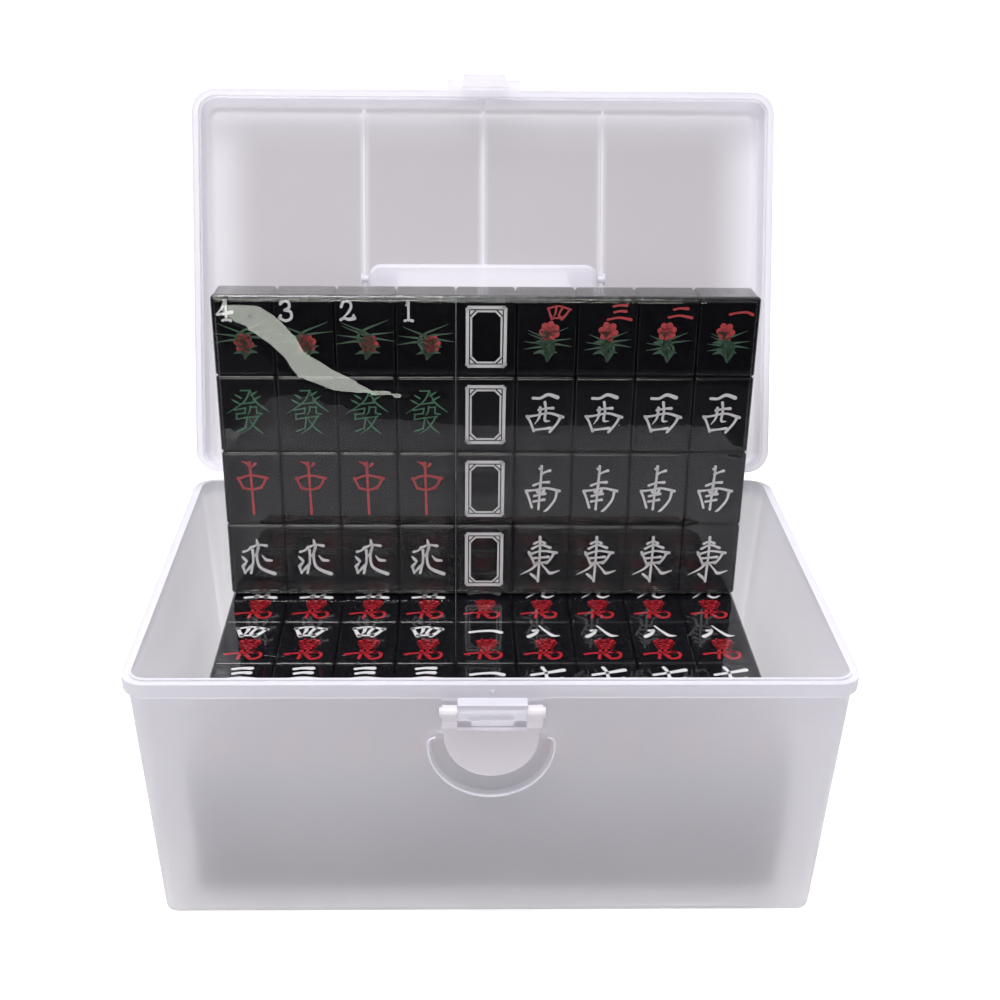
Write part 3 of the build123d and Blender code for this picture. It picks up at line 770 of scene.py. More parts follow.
# %% Ten thousand, and the serif digits
SIGNS["ten_thousand"] = [
    ("bar", [(36, 88), (60, 92), (84, 90)]), ("dot", [(47, 100), (50, 78)]), ("dot", [(74, 100), (68, 78)]),
    ("post", [(37, 76), (44, 52)]), ("bar", [(36, 77), (60, 82), (88, 79)]), ("post", [(85, 78), (76, 52)]),
    ("bar", [(41, 65), (80, 67)]), ("bar", [(44, 53), (76, 54)]), ("post", [(61, 80), (60, 26)]),
    ("bar", [(0, 24), (22, 29), (54, 31), (86, 36)]), ("post", [(45, 42), (38, 4)]),
    ("hook", [(78, 38), (99, 28), (93, 8), (72, 3), (58, 14)]), ("dot", [(52, 22), (68, 14)]),
]
SIGNS["digit_1"] = [
    ("sweep", [(50, 97), (42, 86), (22, 78)]), ("post", [(52, 98), (52, 6)]),
    ("bar", [(16, 4), (50, 9), (90, 4)]),
]
SIGNS["digit_2"] = [
    ("hook", [(14, 72), (30, 96), (66, 96), (78, 74), (56, 42), (10, 10)]),
    ("bold", [(8, 8), (30, 16), (60, 10), (96, 16)]), ("dot", [(92, 14), (92, 30)]),
]
SIGNS["digit_3"] = [
    ("even", [(18, 84), (40, 98), (70, 94), (74, 68), (44, 54)]),
    ("even", [(46, 54), (82, 46), (84, 16), (48, 2), (8, 16)]), ("dot", [(8, 14), (18, 28)]),
]
SIGNS["digit_4"] = [
    ("sweep", [(60, 99), (36, 62), (2, 36)]), ("bold", [(4, 32), (52, 36), (99, 44)]),
    ("post", [(62, 98), (60, 4)]), ("bar", [(36, 2), (62, 9), (88, 2)]),
]
print("ten thousand has", len(SIGNS["ten_thousand"]), "strokes")

# %% Winds
SIGNS["east"] = [
    ("bar", [(34, 85), (48, 90), (60, 86)]), ("bar", [(29, 74), (50, 82), (74, 76)]),
    ("post", [(21, 66), (28, 54), (35, 41)]), ("bar", [(22, 61), (53, 69), (90, 65)]),
    ("post", [(84, 65), (76, 52), (66, 42)]), ("bar", [(33, 53), (70, 56)]), ("bar", [(35, 42), (67, 44)]),
    ("post", [(48, 99), (48, 60), (45, 2)]), ("dot", [(44, 4), (36, 12), (27, 18)]),
    ("sweep", [(44, 43), (28, 29), (1, 17)]), ("press", [(50, 43), (66, 28), (76, 20), (99, 26)]),
]
SIGNS["south"] = [
    ("post", [(46, 99), (46, 84), (44, 62)]), ("dot", [(38, 95), (46, 92)]),
    ("bar", [(45, 82), (58, 87), (70, 90)]),
    ("bar", [(24, 58), (46, 64), (68, 65)]), ("post", [(3, 46), (12, 30), (21, 10)]),
    ("bar", [(3, 46), (30, 48), (60, 52), (99, 46)]), ("hook", [(92, 46), (86, 26), (66, 6), (56, 1)]),
    ("post", [(44, 60), (42, 34), (40, 6)]), ("bar", [(27, 35), (58, 40)]), ("bar", [(26, 23), (56, 27)]),
    ("dot", [(32, 50), (37, 42)]), ("dot", [(58, 51), (50, 42)]),
]
SIGNS["west"] = [
    ("bold", [(18, 88), (38, 88), (58, 97), (83, 90)]), ("post", [(3, 42), (12, 28), (22, 4)]),
    ("bar", [(3, 41), (26, 44), (62, 50), (99, 40)]), ("post", [(93, 41), (84, 24), (65, 2)]),
    ("bar", [(22, 7), (66, 12)]), ("sweep", [(38, 64), (36, 40), (24, 22)]),
    ("hook", [(50, 78), (53, 56), (51, 32), (64, 30)]), ("bar", [(34, 58), (54, 62), (72, 63)]),
]
SIGNS["north"] = [
    ("bar", [(8, 65), (22, 69), (32, 78)]), ("post", [(36, 70), (36, 40), (27, 4)]),
    ("dot", [(2, 52), (16, 38)]), ("dot", [(16, 36), (2, 22)]), ("post", [(3, 24), (9, 4)]),
    ("dot", [(9, 5), (36, 32)]), ("dot", [(50, 100), (53, 84)]), ("bar", [(38, 79), (54, 85), (79, 82)]),
    ("bold", [(56, 84), (48, 56), (52, 26), (70, 12), (99, 2)]), ("sweep", [(54, 76), (46, 58), (32, 46)]),
    ("dot", [(64, 54), (76, 42), (92, 40)]),
]
print("strokes of the winds:", {wind: len(SIGNS[wind]) for wind in ("east", "south", "west", "north")})

# %% Dragons
SIGNS["red_dragon"] = [
    ("dot", [(20, 96), (38, 92), (46, 84)]), ("sweep", [(62, 92), (52, 86)]),
    ("post", [(3, 66), (10, 58), (18, 48)]), ("bar", [(3, 64), (44, 71), (99, 66)]),
    ("post", [(94, 66), (86, 56), (75, 49)]), ("bar", [(18, 48), (48, 45), (77, 49)]),
    ("post", [(44, 94), (46, 50), (48, 0)]),
]
SIGNS["green_dragon"] = [
    ("bar", [(36, 97), (58, 97)]), ("sweep", [(58, 97), (42, 72), (2, 46)]),
    ("dot", [(14, 77), (29, 69)]), ("dot", [(22, 88), (36, 80)]),
    ("press", [(57, 99), (70, 72), (99, 50)]), ("dot", [(82, 85), (64, 76)]), ("dot", [(74, 95), (58, 86)]),
    ("bar", [(32, 67), (66, 71)]), ("bar", [(20, 54), (45, 58)]), ("post", [(45, 58), (43, 47)]),
    ("bar", [(22, 44), (43, 47)]), ("post", [(24, 45), (22, 34)]), ("bar", [(22, 33), (47, 37)]),
    ("post", [(47, 37), (42, 12)]), ("dot", [(42, 13), (22, 6)]), ("sweep", [(56, 62), (54, 50), (48, 43)]),
    ("bar", [(56, 60), (71, 61)]), ("post", [(71, 61), (70, 47)]), ("dot", [(70, 47), (82, 45)]),
    ("bar", [(50, 37), (75, 40)]), ("sweep", [(73, 40), (56, 16), (33, 0)]),
    ("press", [(51, 33), (64, 15), (82, 1)]),
]
print(len(SIGNS), "signs")

# %% [markdown]
# ## Winds, dragons and the white frame
# The white dragon is an empty tile with a double frame.  Its outer line is bold, its
# inner line is fine with cut corners, and a small triangle fills each corner between
# the two.  The frame has straight runs only, so it is made of plain strips that overlap
# at the corners.  The winds and the other dragons are signs from the lists above.

# %% Frame of the white dragon
FRAME_W = 18.7 * MM       # between the middles of the outer line
FRAME_L = 29.4 * MM
FRAME_BOLD = 1.6 * MM
FRAME_FINE = 0.95 * MM
FRAME_SET = 1.85 * MM     # from the middle of the outer line to the middle of the inner one
FRAME_CUT = 3.0 * MM      # cut at the corners of the inner line
FRAME_TRIM = 0.9 * MM     # and of the outer one


def closed_line(marks, corners, pen):
    """Line along straight runs between corners, closed, with square overlaps at the corners."""
    for a, b in zip(corners, corners[1:] + corners[:1]):
        a, b = np.array(a), np.array(b)
        run = (b - a) / np.linalg.norm(b - a) * pen / 2
        marks.strip([a - run, (a + b) / 2, b + run], (pen, pen))


def cut_corners(centre, half_x, half_y, cut):
    """Corner points of a rectangle whose corners are cut off."""
    points = []
    for sx, sy in ((1, 1), (-1, 1), (-1, -1), (1, -1)):
        along = (half_x - cut) * sx, half_y * sy
        down = half_x * sx, (half_y - cut) * sy
        pair = [down, along] if sx * sy > 0 else [along, down]
        points += [(centre[0] + x, centre[1] + y) for x, y in pair]
    return points


def white_frame(marks, centre):
    half_x, half_y = FRAME_W / 2, FRAME_L / 2
    in_x, in_y = half_x - FRAME_SET, half_y - FRAME_SET
    closed_line(marks, cut_corners(centre, half_x, half_y, FRAME_TRIM), FRAME_BOLD)
    closed_line(marks, cut_corners(centre, in_x, in_y, FRAME_CUT), FRAME_FINE)
    for sx in (-1, 1):
        for sy in (-1, 1):
            corner = np.array(centre) + np.array([sx * in_x, sy * in_y])
            corner += np.array([sx, sy]) * FRAME_FINE / 2
            leg = FRAME_CUT * 0.8
            ring = [corner, corner - [sx * leg, 0], corner - [0, sy * leg]]
            marks.prism([tuple(p) for p in (ring if sx * sy > 0 else ring[::-1])])


print("white frame, mm:", round(FRAME_W / MM, 1), "by", round(FRAME_L / MM, 1))

# %% [markdown]
# ## Plants on the flower and season tiles
# These eight tiles carry small painted plants.  They are plain sprigs of one design:
# a bent stem, long blades from the foot, pairs of leaves and a round bloom of petals.
# Eight drawings could be made by hand.  One function that takes a number makes them
# all, and turns and sizes each a little differently.

# %% Sprigs
def leaf(marks, root, angle, length, width, curl=0.5):
    """Leaf that leaves its root at an angle and curls over."""
    tip = root + length * np.array([math.cos(angle - curl / 2), math.sin(angle - curl / 2)])
    bend = root + 0.5 * length * np.array([math.cos(angle + curl / 2), math.sin(angle + curl / 2)])
    widths = (width * 0.35, width, width * 0.8, width * 0.12)
    marks.strip(smooth_path([tuple(root), tuple(bend), tuple(tip)]), widths)


def bloom(marks, centre, radius, petals, turn):
    """Round bloom: petals in a ring and a heart."""
    for k in range(petals):
        angle = turn + 2 * math.pi * k / petals
        spot = centre[0] + 0.6 * radius * math.cos(angle), centre[1] + 0.6 * radius * math.sin(angle)
        marks.disc(spot, 0.44 * radius, 0.85, angle)
    marks.disc(centre, 0.34 * radius)


def sprig(green, red, centre, lean_way, number, bloom_up):
    """Plant of one tile.  number changes its leaves, and bloom_up says how high the bloom stands."""
    foot = np.array([centre[0] - 1.5 * MM * lean_way, centre[1] - 10.5 * MM])
    head = np.array([centre[0] + (2.2 - number * 0.9) * MM * lean_way, centre[1] + bloom_up * MM])
    mid = (foot + head) / 2 + np.array([2.0 * MM * lean_way, 0])
    stem = smooth_path([tuple(foot), tuple(mid), tuple(head)])
    green.strip(stem, (1.0 * MM, 0.7 * MM))
    blades = 5 + number % 3
    for k in range(blades):                      # long blades from the foot
        side = -1 if k < blades / 2 else 1
        angle = math.pi / 2 - side * (0.15 + 0.27 * (k % 3))
        length = (18 - 2.2 * (k % 3) - 0.6 * bloom_up + 0.5 * number) * MM
        leaf(green, foot + [0, 0.5 * k * MM], angle, length, 1.5 * MM, 0.9 * side)
    for k in range(6):                           # short leaves in pairs up the stem
        side = 1 if k % 2 else -1
        root = stem[2 + k // 2 * 3]
        angle = math.pi / 2 - side * (1.1 - 0.12 * k)
        leaf(green, root, angle, (6.4 - 0.4 * k) * MM, 2.2 * MM, 0.6 * side)
    bloom(red, tuple(head), (4.3 + 0.15 * number) * MM, 6 + number % 2, number)


trial = Marks()
sprig(trial, trial, (0, 0), 1, 1, 0.0)
print("a sprig has", len(trial.faces), "faces")

# %% Winds and dragons on their tiles
PEN = 1.4 * MM
honours = {name: Marks() for name in paints}
HONOUR_SIGNS = {          # paint, width, height, and how far above the tile's middle, mm
    "green_dragon": ("green", 21.8, 23.4, 1.4),
    "red_dragon": ("red", 15.8, 30.0, 1.0),
    "north": ("white", 17.4, 20.2, 1.4),
    "west": ("white", 19.0, 20.7, 1.0),
    "south": ("white", 18.1, 25.5, 0.0),
    "east": ("white", 21.2, 26.4, 0.0),
}
GREEN_PEN = 0.6           # the green dragon's many strokes are finer
honours_rows = (("green_dragon", "red_dragon", "north"), ("west", "south", "east"))
for side, signs in enumerate(honours_rows):
    for row, sign in enumerate(signs, start=1):
        paint, width, height, rise = HONOUR_SIGNS[sign]
        pen = PEN * (GREEN_PEN if paint == "green" else 1.0)
        for k in range(4):
            spot = cell_middle(k + side * (COLS // 2 + 1), row) + Vector((0, rise * MM, 0))
            honours[paint].sign(SIGNS[sign], spot, width * MM, height * MM, pen)
for row in range(ROWS):
    white_frame(honours["white"], tuple(cell_middle(COLS // 2, row))[:2])
print(len(HONOUR_SIGNS), "signs on four tiles each, and", ROWS, "frames")

# %% Seasons and flowers
SEASON_DIGIT = Vector((-8.4, 12.6, 0)) * MM
FLOWER_NUMBER = Vector((5.6, 12.4, 0)) * MM
NUMBER_HEIGHT = {1: 3.4, 2: 6.6, 3: 8.2, 4: 7.2}   # mm: flat numerals are lower
SEASON_SPRIG = Vector((1.6, -1.0, 0)) * MM
FLOWER_SPRIG = Vector((-1.0, -2.0, 0)) * MM
SEASON_BLOOM, FLOWER_BLOOM = -2.5, 5.0             # mm: how high the bloom stands
for k in range(4):
    number = 4 - k
    season, flower = cell_middle(k, 0), cell_middle(k + COLS // 2 + 1, 0)
    digit_w = 5.0 if number == 1 else 7.6
    honours["white"].sign(SIGNS[f"digit_{number}"], season + SEASON_DIGIT, digit_w * MM, 10 * MM, 1.35 * MM)
    sprig(honours["dark_green"], honours["red"], season + SEASON_SPRIG, 1, number, SEASON_BLOOM)
    height = NUMBER_HEIGHT[number] * MM
    honours["red"].sign(SIGNS[str(number)], flower + FLOWER_NUMBER, 11.6 * MM, height, 1.05 * MM)
    sprig(honours["dark_green"], honours["red"], flower + FLOWER_SPRIG, -1, number + 1, FLOWER_BLOOM)
for name, marks in honours.items():
    marks.build(f"marks_honours_{name}", paints[name], "honours", "tile_black")

# %% [markdown]
# ## Character pack
# Each tile has a white numeral above a red sign for ten thousand.  The numeral is
# chosen by the tile's column and row, the same way for every suit, so one rule serves
# three packs and the signs land on the CAD's own tiles.

# %% Numerals and ten thousands
NUMERAL_W = 16 * MM
NUMERAL_PEN = 1.9 * MM
NUMERAL_HEIGHT = {1: 4.5, 4: 10.2}      # mm, where it isn't the common height
COMMON_HEIGHT = 11.4
NUMERAL_AT = Vector((0.2, 10.8, 0)) * MM
THOUSAND_W = 18 * MM
THOUSAND_H = 19.6 * MM
THOUSAND_PEN = 1.75 * MM
THOUSAND_AT = Vector((-1.2, -6.2, 0)) * MM


def number_at(col, row):
    """Number on a suit's tile: ones down the middle, five to two on the left, nine to six on the right."""
    if col == COLS // 2:
        return 1
    return (5 if col < COLS // 2 else 9) - row


character = {"white": Marks(), "red": Marks()}
ten_thousand = SIGNS["ten_thousand"]
for row in range(ROWS):
    for col in range(COLS):
        spot = cell_middle(col, row)
        number = number_at(col, row)
        height = NUMERAL_HEIGHT.get(number, COMMON_HEIGHT) * MM
        character["white"].sign(SIGNS[str(number)], spot + NUMERAL_AT, NUMERAL_W, height, NUMERAL_PEN)
        character["red"].sign(ten_thousand, spot + THOUSAND_AT, THOUSAND_W, THOUSAND_H, THOUSAND_PEN)
for name, marks in character.items():
    marks.build(f"marks_character_{name}", paints[name], "character", "tile_black")

# %% [markdown]
# ## Circle and bamboo packs
# They lie under the character pack.  A circle is two rings round a dot, and a bamboo
# is a short stick with a knot at each end and in the middle.  The number sets how
# many columns and rows they stand in.  Little of them ever shows, so plain rings and
# sticks are enough here, where a real set often has finer ones.

# %% Rings and sticks
LAYOUTS = {
    1: (1,), 2: (1, 1), 3: (1, 1, 1), 4: (2, 2), 5: (2, 1, 2),
    6: (2, 2, 2), 7: (3, 2, 2), 8: (2, 2, 2, 2), 9: (3, 3, 3),
}
FACE_W = 20 * MM
FACE_L = 31 * MM


def spots_on_face(number):
    """Middle of each ring or stick on a face, and the room that it has across and along."""
    rows = LAYOUTS[number]
    room_x, room_y = FACE_W / max(rows), FACE_L / len(rows)
    for r, count in enumerate(rows):
        for k in range(count):
            spot = Vector(((k - (count - 1) / 2) * room_x, ((len(rows) - 1) / 2 - r) * room_y, 0))
            yield spot, room_x, room_y


def draw_circle(inks, spot, room_x, room_y, k):
    radius = min(room_x, room_y) * 0.44
    inks["white"].ring(spot, radius, 0.9 * MM)
    inks["green" if k % 2 else "red"].ring(spot, radius * 0.6, 0.8 * MM)
    inks["red"].disc(spot, radius * 0.24)


def draw_bamboo(inks, spot, room_x, room_y, k):
    length = room_y * 0.86
    ink = inks["red" if k % 3 == 2 else "green"]
    x, y = spot[0], spot[1]
    ink.strip([(x, y - length / 2), (x, y), (x, y + length / 2)], (1.6 * MM, 1.6 * MM))
    for knot in (-0.5, 0, 0.5):
        ink.disc((x, y + knot * length * 0.92), 1.5 * MM, 0.6)


for suit, draw, inks in (
    ("circle", draw_circle, {name: Marks() for name in ("white", "red", "green")}),
    ("bamboo", draw_bamboo, {name: Marks() for name in ("red", "green")}),
):
    for row in range(ROWS):
        for col in range(COLS):
            for k, (spot, room_x, room_y) in enumerate(spots_on_face(number_at(col, row))):
                draw(inks, cell_middle(col, row) + spot, room_x, room_y, k)
    for name, marks in inks.items():
        marks.build(f"marks_{suit}_{name}", paints[name], suit, "tile_black")

# %% [markdown]
# ## The film as a sheet
# Shrunk film is tight on the flat faces, dips where two tiles meet, and gathers in
# fine folds along the pack's edges, where it shrank most.  The sheet is a box of
# points with rounded edges.  The points are close together near the edges, where the
# folds are fine, and wider apart on the flat.  Each point moves out by smooth noise,
# and the two ends stay open as they are on a sleeve.  A cloth simulation could shrink
# a sheet onto the pack, but film this tight barely moves, and noise puts the gathers
# where they belong.
#
# The packs lie on each other with little air between, so the mesh of a gather stands
# out only a tenth of a millimetre.  What it needs beyond that goes into the slack
# attribute, which the film's material shades as relief.  A loose fold is real height,
# and it lies on a front piece of its own.

# %% Grid of the film
FINE_STEP = 1.0 * MM      # between points near an edge
FINE_BAND = 12 * MM       # how wide that fine band is


def stations(half, wide_step):
    """Places of the points from -half to half: a fine step near both edges, wide_step between."""
    band = min(FINE_BAND, half)
    fine = np.arange(0, band, FINE_STEP)
    inner = 2 * (half - band)
    middle_places = np.linspace(0, inner, max(1, round(inner / wide_step)) + 1)
    left = -half + fine
    return np.unique(np.round(np.concatenate([left, -half + band + middle_places, -left]), 7))


def face_grid(axis, sign, places):
    """Points and quads of one face of a box, as a grid."""
    u_axis, v_axis = [k for k in range(3) if k != axis]
    us, vs = places[u_axis], places[v_axis]
    points = []
    for u in us:
        for v in vs:
            p = [0.0, 0.0, 0.0]
            p[axis], p[u_axis], p[v_axis] = sign * places[axis][-1], u, v
            points.append(tuple(p))
    rows = len(vs)
    quads = [
        (i * rows + j, (i + 1) * rows + j, (i + 1) * rows + j + 1, i * rows + j + 1)
        for i in range(len(us) - 1) for j in range(rows - 1)
    ]
    return points, quads


half_pack = Vector((COLS * TILE_W / 2, ROWS * TILE_L / 2, TILE_T / 2))
print("half a pack, mm:", [round(v / MM, 1) for v in half_pack])

# %% Relief of the film
GATHER_REACH = 8 * MM     # how far the gathers run in from an edge
GATHER_FLAT = 0.30 * MM   # height of the gathers on the faces
GATHER_SIDE = 0.50 * MM   # and on the pack's narrow sides
GATHER_WAVE = 4.5 * MM
GATHER_RUN = 16 * MM      # how far a gather keeps its shape, inwards
GATHER_GROUP = 19 * MM    # gathers come in groups this wide
GROUP_GAIN = 1.6
FACE_WAVE = 38 * MM, 30 * MM            # slow waves of the faces, across and along
FACE_HIGH = 0.08 * MM
SIDE_WAVE = 9 * MM, 16 * MM             # and of the narrow sides
SIDE_HIGH = 0.25 * MM
DIP_DEEP = 0.14 * MM      # dips where tiles meet
DIP_WIDE = 1.3 * MM
DIP_START = 4 * MM        # they start from nothing over this, inside the edge
FOLD_TIGHT = 0.8 * MM     # film lifted this far by a fold has no gathers or dips


def joint_dip(value, pitch, count):
    """1 on the line where two tiles meet, 0 away from it."""
    place = (value / pitch + count / 2) % 1.0
    off = min(place, 1 - place) * pitch
    return math.exp(-(off / DIP_WIDE) ** 2)


def lumps(x, y, seed):
    """Smooth noise between 0 and 1."""
    return 0.5 + 0.5 * noise.noise(Vector((x, y, seed)))


def film_push(p, half, seed, lifted):
    """How far the film stands out of the tiles at a point of the box.  Lifted is what a fold adds there."""
    edge_x = half[0] - abs(p[0])
    edge_y = half[1] - abs(p[1])
    edge = min(edge_x, edge_y)
    across = p[0] if edge_y < edge_x else p[1]
    gather = max(0.0, 1 - edge / GATHER_REACH) ** 2
    folds = lumps(across / GATHER_WAVE, edge / GATHER_RUN, seed)
    folds *= lumps(across / GATHER_GROUP, 0.3, seed + 5) * GROUP_GAIN
    slack = lumps(p[0] / FACE_WAVE[0], p[1] / FACE_WAVE[1], seed + 7)
    on_face = abs(abs(p[2]) - half[2]) < 0.1 * MM
    tight = max(0.0, 1 - lifted / FOLD_TIGHT)
    push = FACE_HIGH * slack + (GATHER_FLAT if on_face else GATHER_SIDE) * gather * folds * tight
    if on_face:
        dip = max(joint_dip(p[0], TILE_W, COLS), joint_dip(p[1], TILE_L, ROWS))
        push -= DIP_DEEP * dip * min(1.0, edge / DIP_START) * tight
    else:
        push += SIDE_HIGH * lumps(across / SIDE_WAVE[0], p[2] / SIDE_WAVE[1], seed + 3)
    return push


print("gathers up to", round(GATHER_FLAT / MM, 2), "mm on a face")

# %% Pieces of film
FILM_OFF = 0.16 * MM      # from the tiles to the film on the flat faces
FILM_THICK = 0.03 * MM
FILM_EDGE_R = 1.9 * MM
FOLD_START = 3.0 * MM     # a fold starts from nothing over this, inside the edge
MESH_ROOM = 0.10 * MM     # most that a gather's mesh moves out
END_OPEN_L = 0.78         # share of each end left open, along the pack
END_OPEN_T = 0.5          # the same, across its thickness
SAME_POINT = 0.01 * MM    # points nearer than this are one


def film_piece(name, pack, points, slack, faces):
    """One object from the points that its faces use."""
    used = sorted({i for face in faces for i in face})
    new = {i: k for k, i in enumerate(used)}
    mesh = bpy.data.meshes.new(name)
    mesh.from_pydata([points[i] for i in used], [], [[new[i] for i in face] for face in faces])
    mesh.materials.append(film_clear)
    mesh.polygons.foreach_set("use_smooth", [True] * len(mesh.polygons))
    mesh.attributes.new(SLACK, "FLOAT", "POINT").data.foreach_set("value", [slack[i] for i in used])
    piece = bpy.data.objects.new(name, mesh)
    bpy.context.scene.collection.objects.link(piece)
    skin = piece.modifiers.new("thickness", "SOLIDIFY")
    skin.thickness = FILM_THICK
    skin.offset = 1.0
    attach(piece, f"pack_{pack}")
    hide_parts(f"film_{pack}")
    print(piece.name, len(faces), "faces")
    return piece


def film_sheet(pack, seed, wide_step, fold=None):
    """Sheet round a pack.  With a fold, the flat part of the front is a piece of its own and is returned."""
    half = [half_pack[k] + FILM_OFF for k in range(3)]
    places = [stations(h, wide_step) for h in half]
    index, points, faces = {}, [], []
    for axis in range(3):
        for sign in (-1, 1):
            grid, quads = face_grid(axis, sign, places)
            ids = []
            for p in grid:
                key = tuple(round(c / SAME_POINT) for c in p)
                if key not in index:
                    index[key] = len(points)
                    points.append(p)
                ids.append(index[key])
            flip = (sign < 0) != (axis == 1)
            for quad in quads:
                spot = [sum(grid[q][k] for q in quad) / 4 for k in range(3)]
                in_hole = abs(spot[1]) < half[1] * END_OPEN_L and abs(spot[2]) < half[2] * END_OPEN_T
                if axis == 0 and in_hole:
                    continue
                ring = [ids[q] for q in quad]
                faces.append(ring[::-1] if flip else ring)
    moved, slack = [], []
    for p in points:
        core = Vector([max(-h + FILM_EDGE_R, min(h - FILM_EDGE_R, c)) for c, h in zip(p, half)])
        way = (Vector(p) - core).normalized()
        inside = min(h - FILM_EDGE_R - abs(c) for c, h in zip(p[:2], half))
        lifted = fold(p) * min(1.0, max(0.0, inside / FOLD_START)) if fold else 0.0
        push = film_push(p, half, seed, lifted)
        room = MESH_ROOM * (1 - math.exp(-push / MESH_ROOM)) if push > 0 else push
        slack.append(push - room)
        moved.append(packs[pack] @ (core + way * (FILM_EDGE_R + room + lifted)))
    if not fold:
        film_piece(f"film_sheet_{pack}", pack, moved, slack, faces)
        return None
    on_front = [
        p[2] > half[2] - SAME_POINT and all(abs(p[k]) < half[k] - FILM_EDGE_R for k in (0, 1)) for p in points
    ]
    rest = [face for face in faces if not all(on_front[i] for i in face)]
    front = [face for face in faces if all(on_front[i] for i in face)]
    film_piece(f"film_sheet_{pack}", pack, moved, slack, rest)
    return film_piece(f"film_front_{pack}", pack, moved, slack, front)


# %% [markdown]
# ## A loose fold
# The film on the standing pack has one slack place: a soft fold that runs down from
# the top left corner.  Its upper flank is short and even, so it mirrors the lamp as
# one bright streak, and its lower flank falls away slowly.  A painted streak would
# stay put when the viewer moves, so the fold is real height that mirrors a lamp.
# When that pack is laid down for the lid to shut, the pack under it presses the fold
# flat.  The front piece of film, which carries the fold, has a mesh of its own.

# %% Shape of the fold
FOLD_LINE = np.array([    # crest, mm from the middle of the pack
    (-134.5, 69.5), (-124.4, 66.6), (-116.3, 63.6), (-108.3, 57.7), (-102.2, 51.1), (-98.1, 44.5),
    (-93.9, 40.0), (-86.5, 36.9), (-78.2, 33.3), (-69.7, 31.8), (-59.2, 31.3),
]) * MM
FLANK_AT = (0, 0.22, 0.6, 0.85, 1)                        # places along the crest
FLANK_MM = (6.0, 12.5, 12.5, 9.0, 2.5)                    # width of the upper flank there
FLANK_DEG = (8.5, 10.5, 12.0, 12.0, 11.0)                 # and its slope
FLANK_ROUND = 0.3                                         # share of its height that is rounded off
FALL_AWAY = 46 * MM                                       # width of the lower flank
fold_runs = FOLD_LINE[1:] - FOLD_LINE[:-1]
fold_lengths = np.linalg.norm(fold_runs, axis=1)


def loose_fold(p):
    """Height of the fold at a point of the pack's face."""
    if p[2] < half_pack.z:
        return 0.0
    spot = np.array(p[:2]) - FOLD_LINE[:-1]
    along = np.clip((spot * fold_runs).sum(1) / fold_lengths ** 2, 0, 1)
    away = np.linalg.norm(spot - along[:, None] * fold_runs, axis=1)
    k = int(away.argmin())
    side = fold_runs[k][0] * spot[k][1] - fold_runs[k][1] * spot[k][0]
    place = (fold_lengths[:k].sum() + along[k] * fold_lengths[k]) / fold_lengths.sum()
    flank = float(np.interp(place, FLANK_AT, FLANK_MM)) * MM
    if side > 0:
        shape = max(0.0, 1 - away[k] / flank)
        shape = shape * shape * (3 - 2 * shape) * FLANK_ROUND + shape * (1 - FLANK_ROUND)
    else:
        shape = max(0.0, 1 - away[k] / FALL_AWAY)
        shape = shape * shape * (3 - 2 * shape)
    slope = math.tan(math.radians(float(np.interp(place, FLANK_AT, FLANK_DEG))))
    return slope * flank * shape


print("the fold runs for", round(fold_lengths.sum() / MM), "mm")

# %% Films round the packs
WIDE_STEPS = {"bamboo": 3.0 * MM, "circle": 3.0 * MM, "character": 2.5 * MM, "honours": 1.5 * MM}
NOISE_SEEDS = {"bamboo": 4.0, "circle": 15.0, "character": 26.0, "honours": 37.0}
for pack in suits:
    film_sheet(pack, NOISE_SEEDS[pack], WIDE_STEPS[pack])
front = film_sheet("honours", NOISE_SEEDS["honours"], WIDE_STEPS["honours"], loose_fold)
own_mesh(front)

# %% [markdown]
# ## Floor and light
# The case stands on a white table in a white room.  Near the case the table shows its
# own light and shade.  Further off it brightens to pure white for the eye, so there is
# no horizon.  That white is a glow which only the eye sees, since more light would clip
# the pale plastic.  A large soft lamp hangs above, and a second soft lamp stands behind
# the viewer and gives the streak on the film.
# Black tiles look black when they mirror something dark, so shade is painted on the
# table towards the viewer, and the room is dark low in front of the case.

# %% Floor
TABLE_SIZE = 12
TABLE_FRONT = -0.86       # beyond this the floor is painted nearly black, as shade
FRONT_SOFT = 0.02
TABLE_DIM = -0.52         # painted shade makes the table greyer in front of this
TABLE_LIT = -0.34         # and white from here on
NEAR_WHITE = 0.36         # radius where the table starts to turn white for the eye
FULL_WHITE = 0.72
EYE_LIFT = 0.28           # added for the eye near the case
EYE_FULL = 0.95           # and far from it
MIRROR_LIFT = 0.03        # added where a surface mirrors the table
MIRROR_KEEP = 0.65        # share of the table's own light that a mirroring surface shows
THROUGH_LIFT = 0.85       # added where the table shows through the plastic


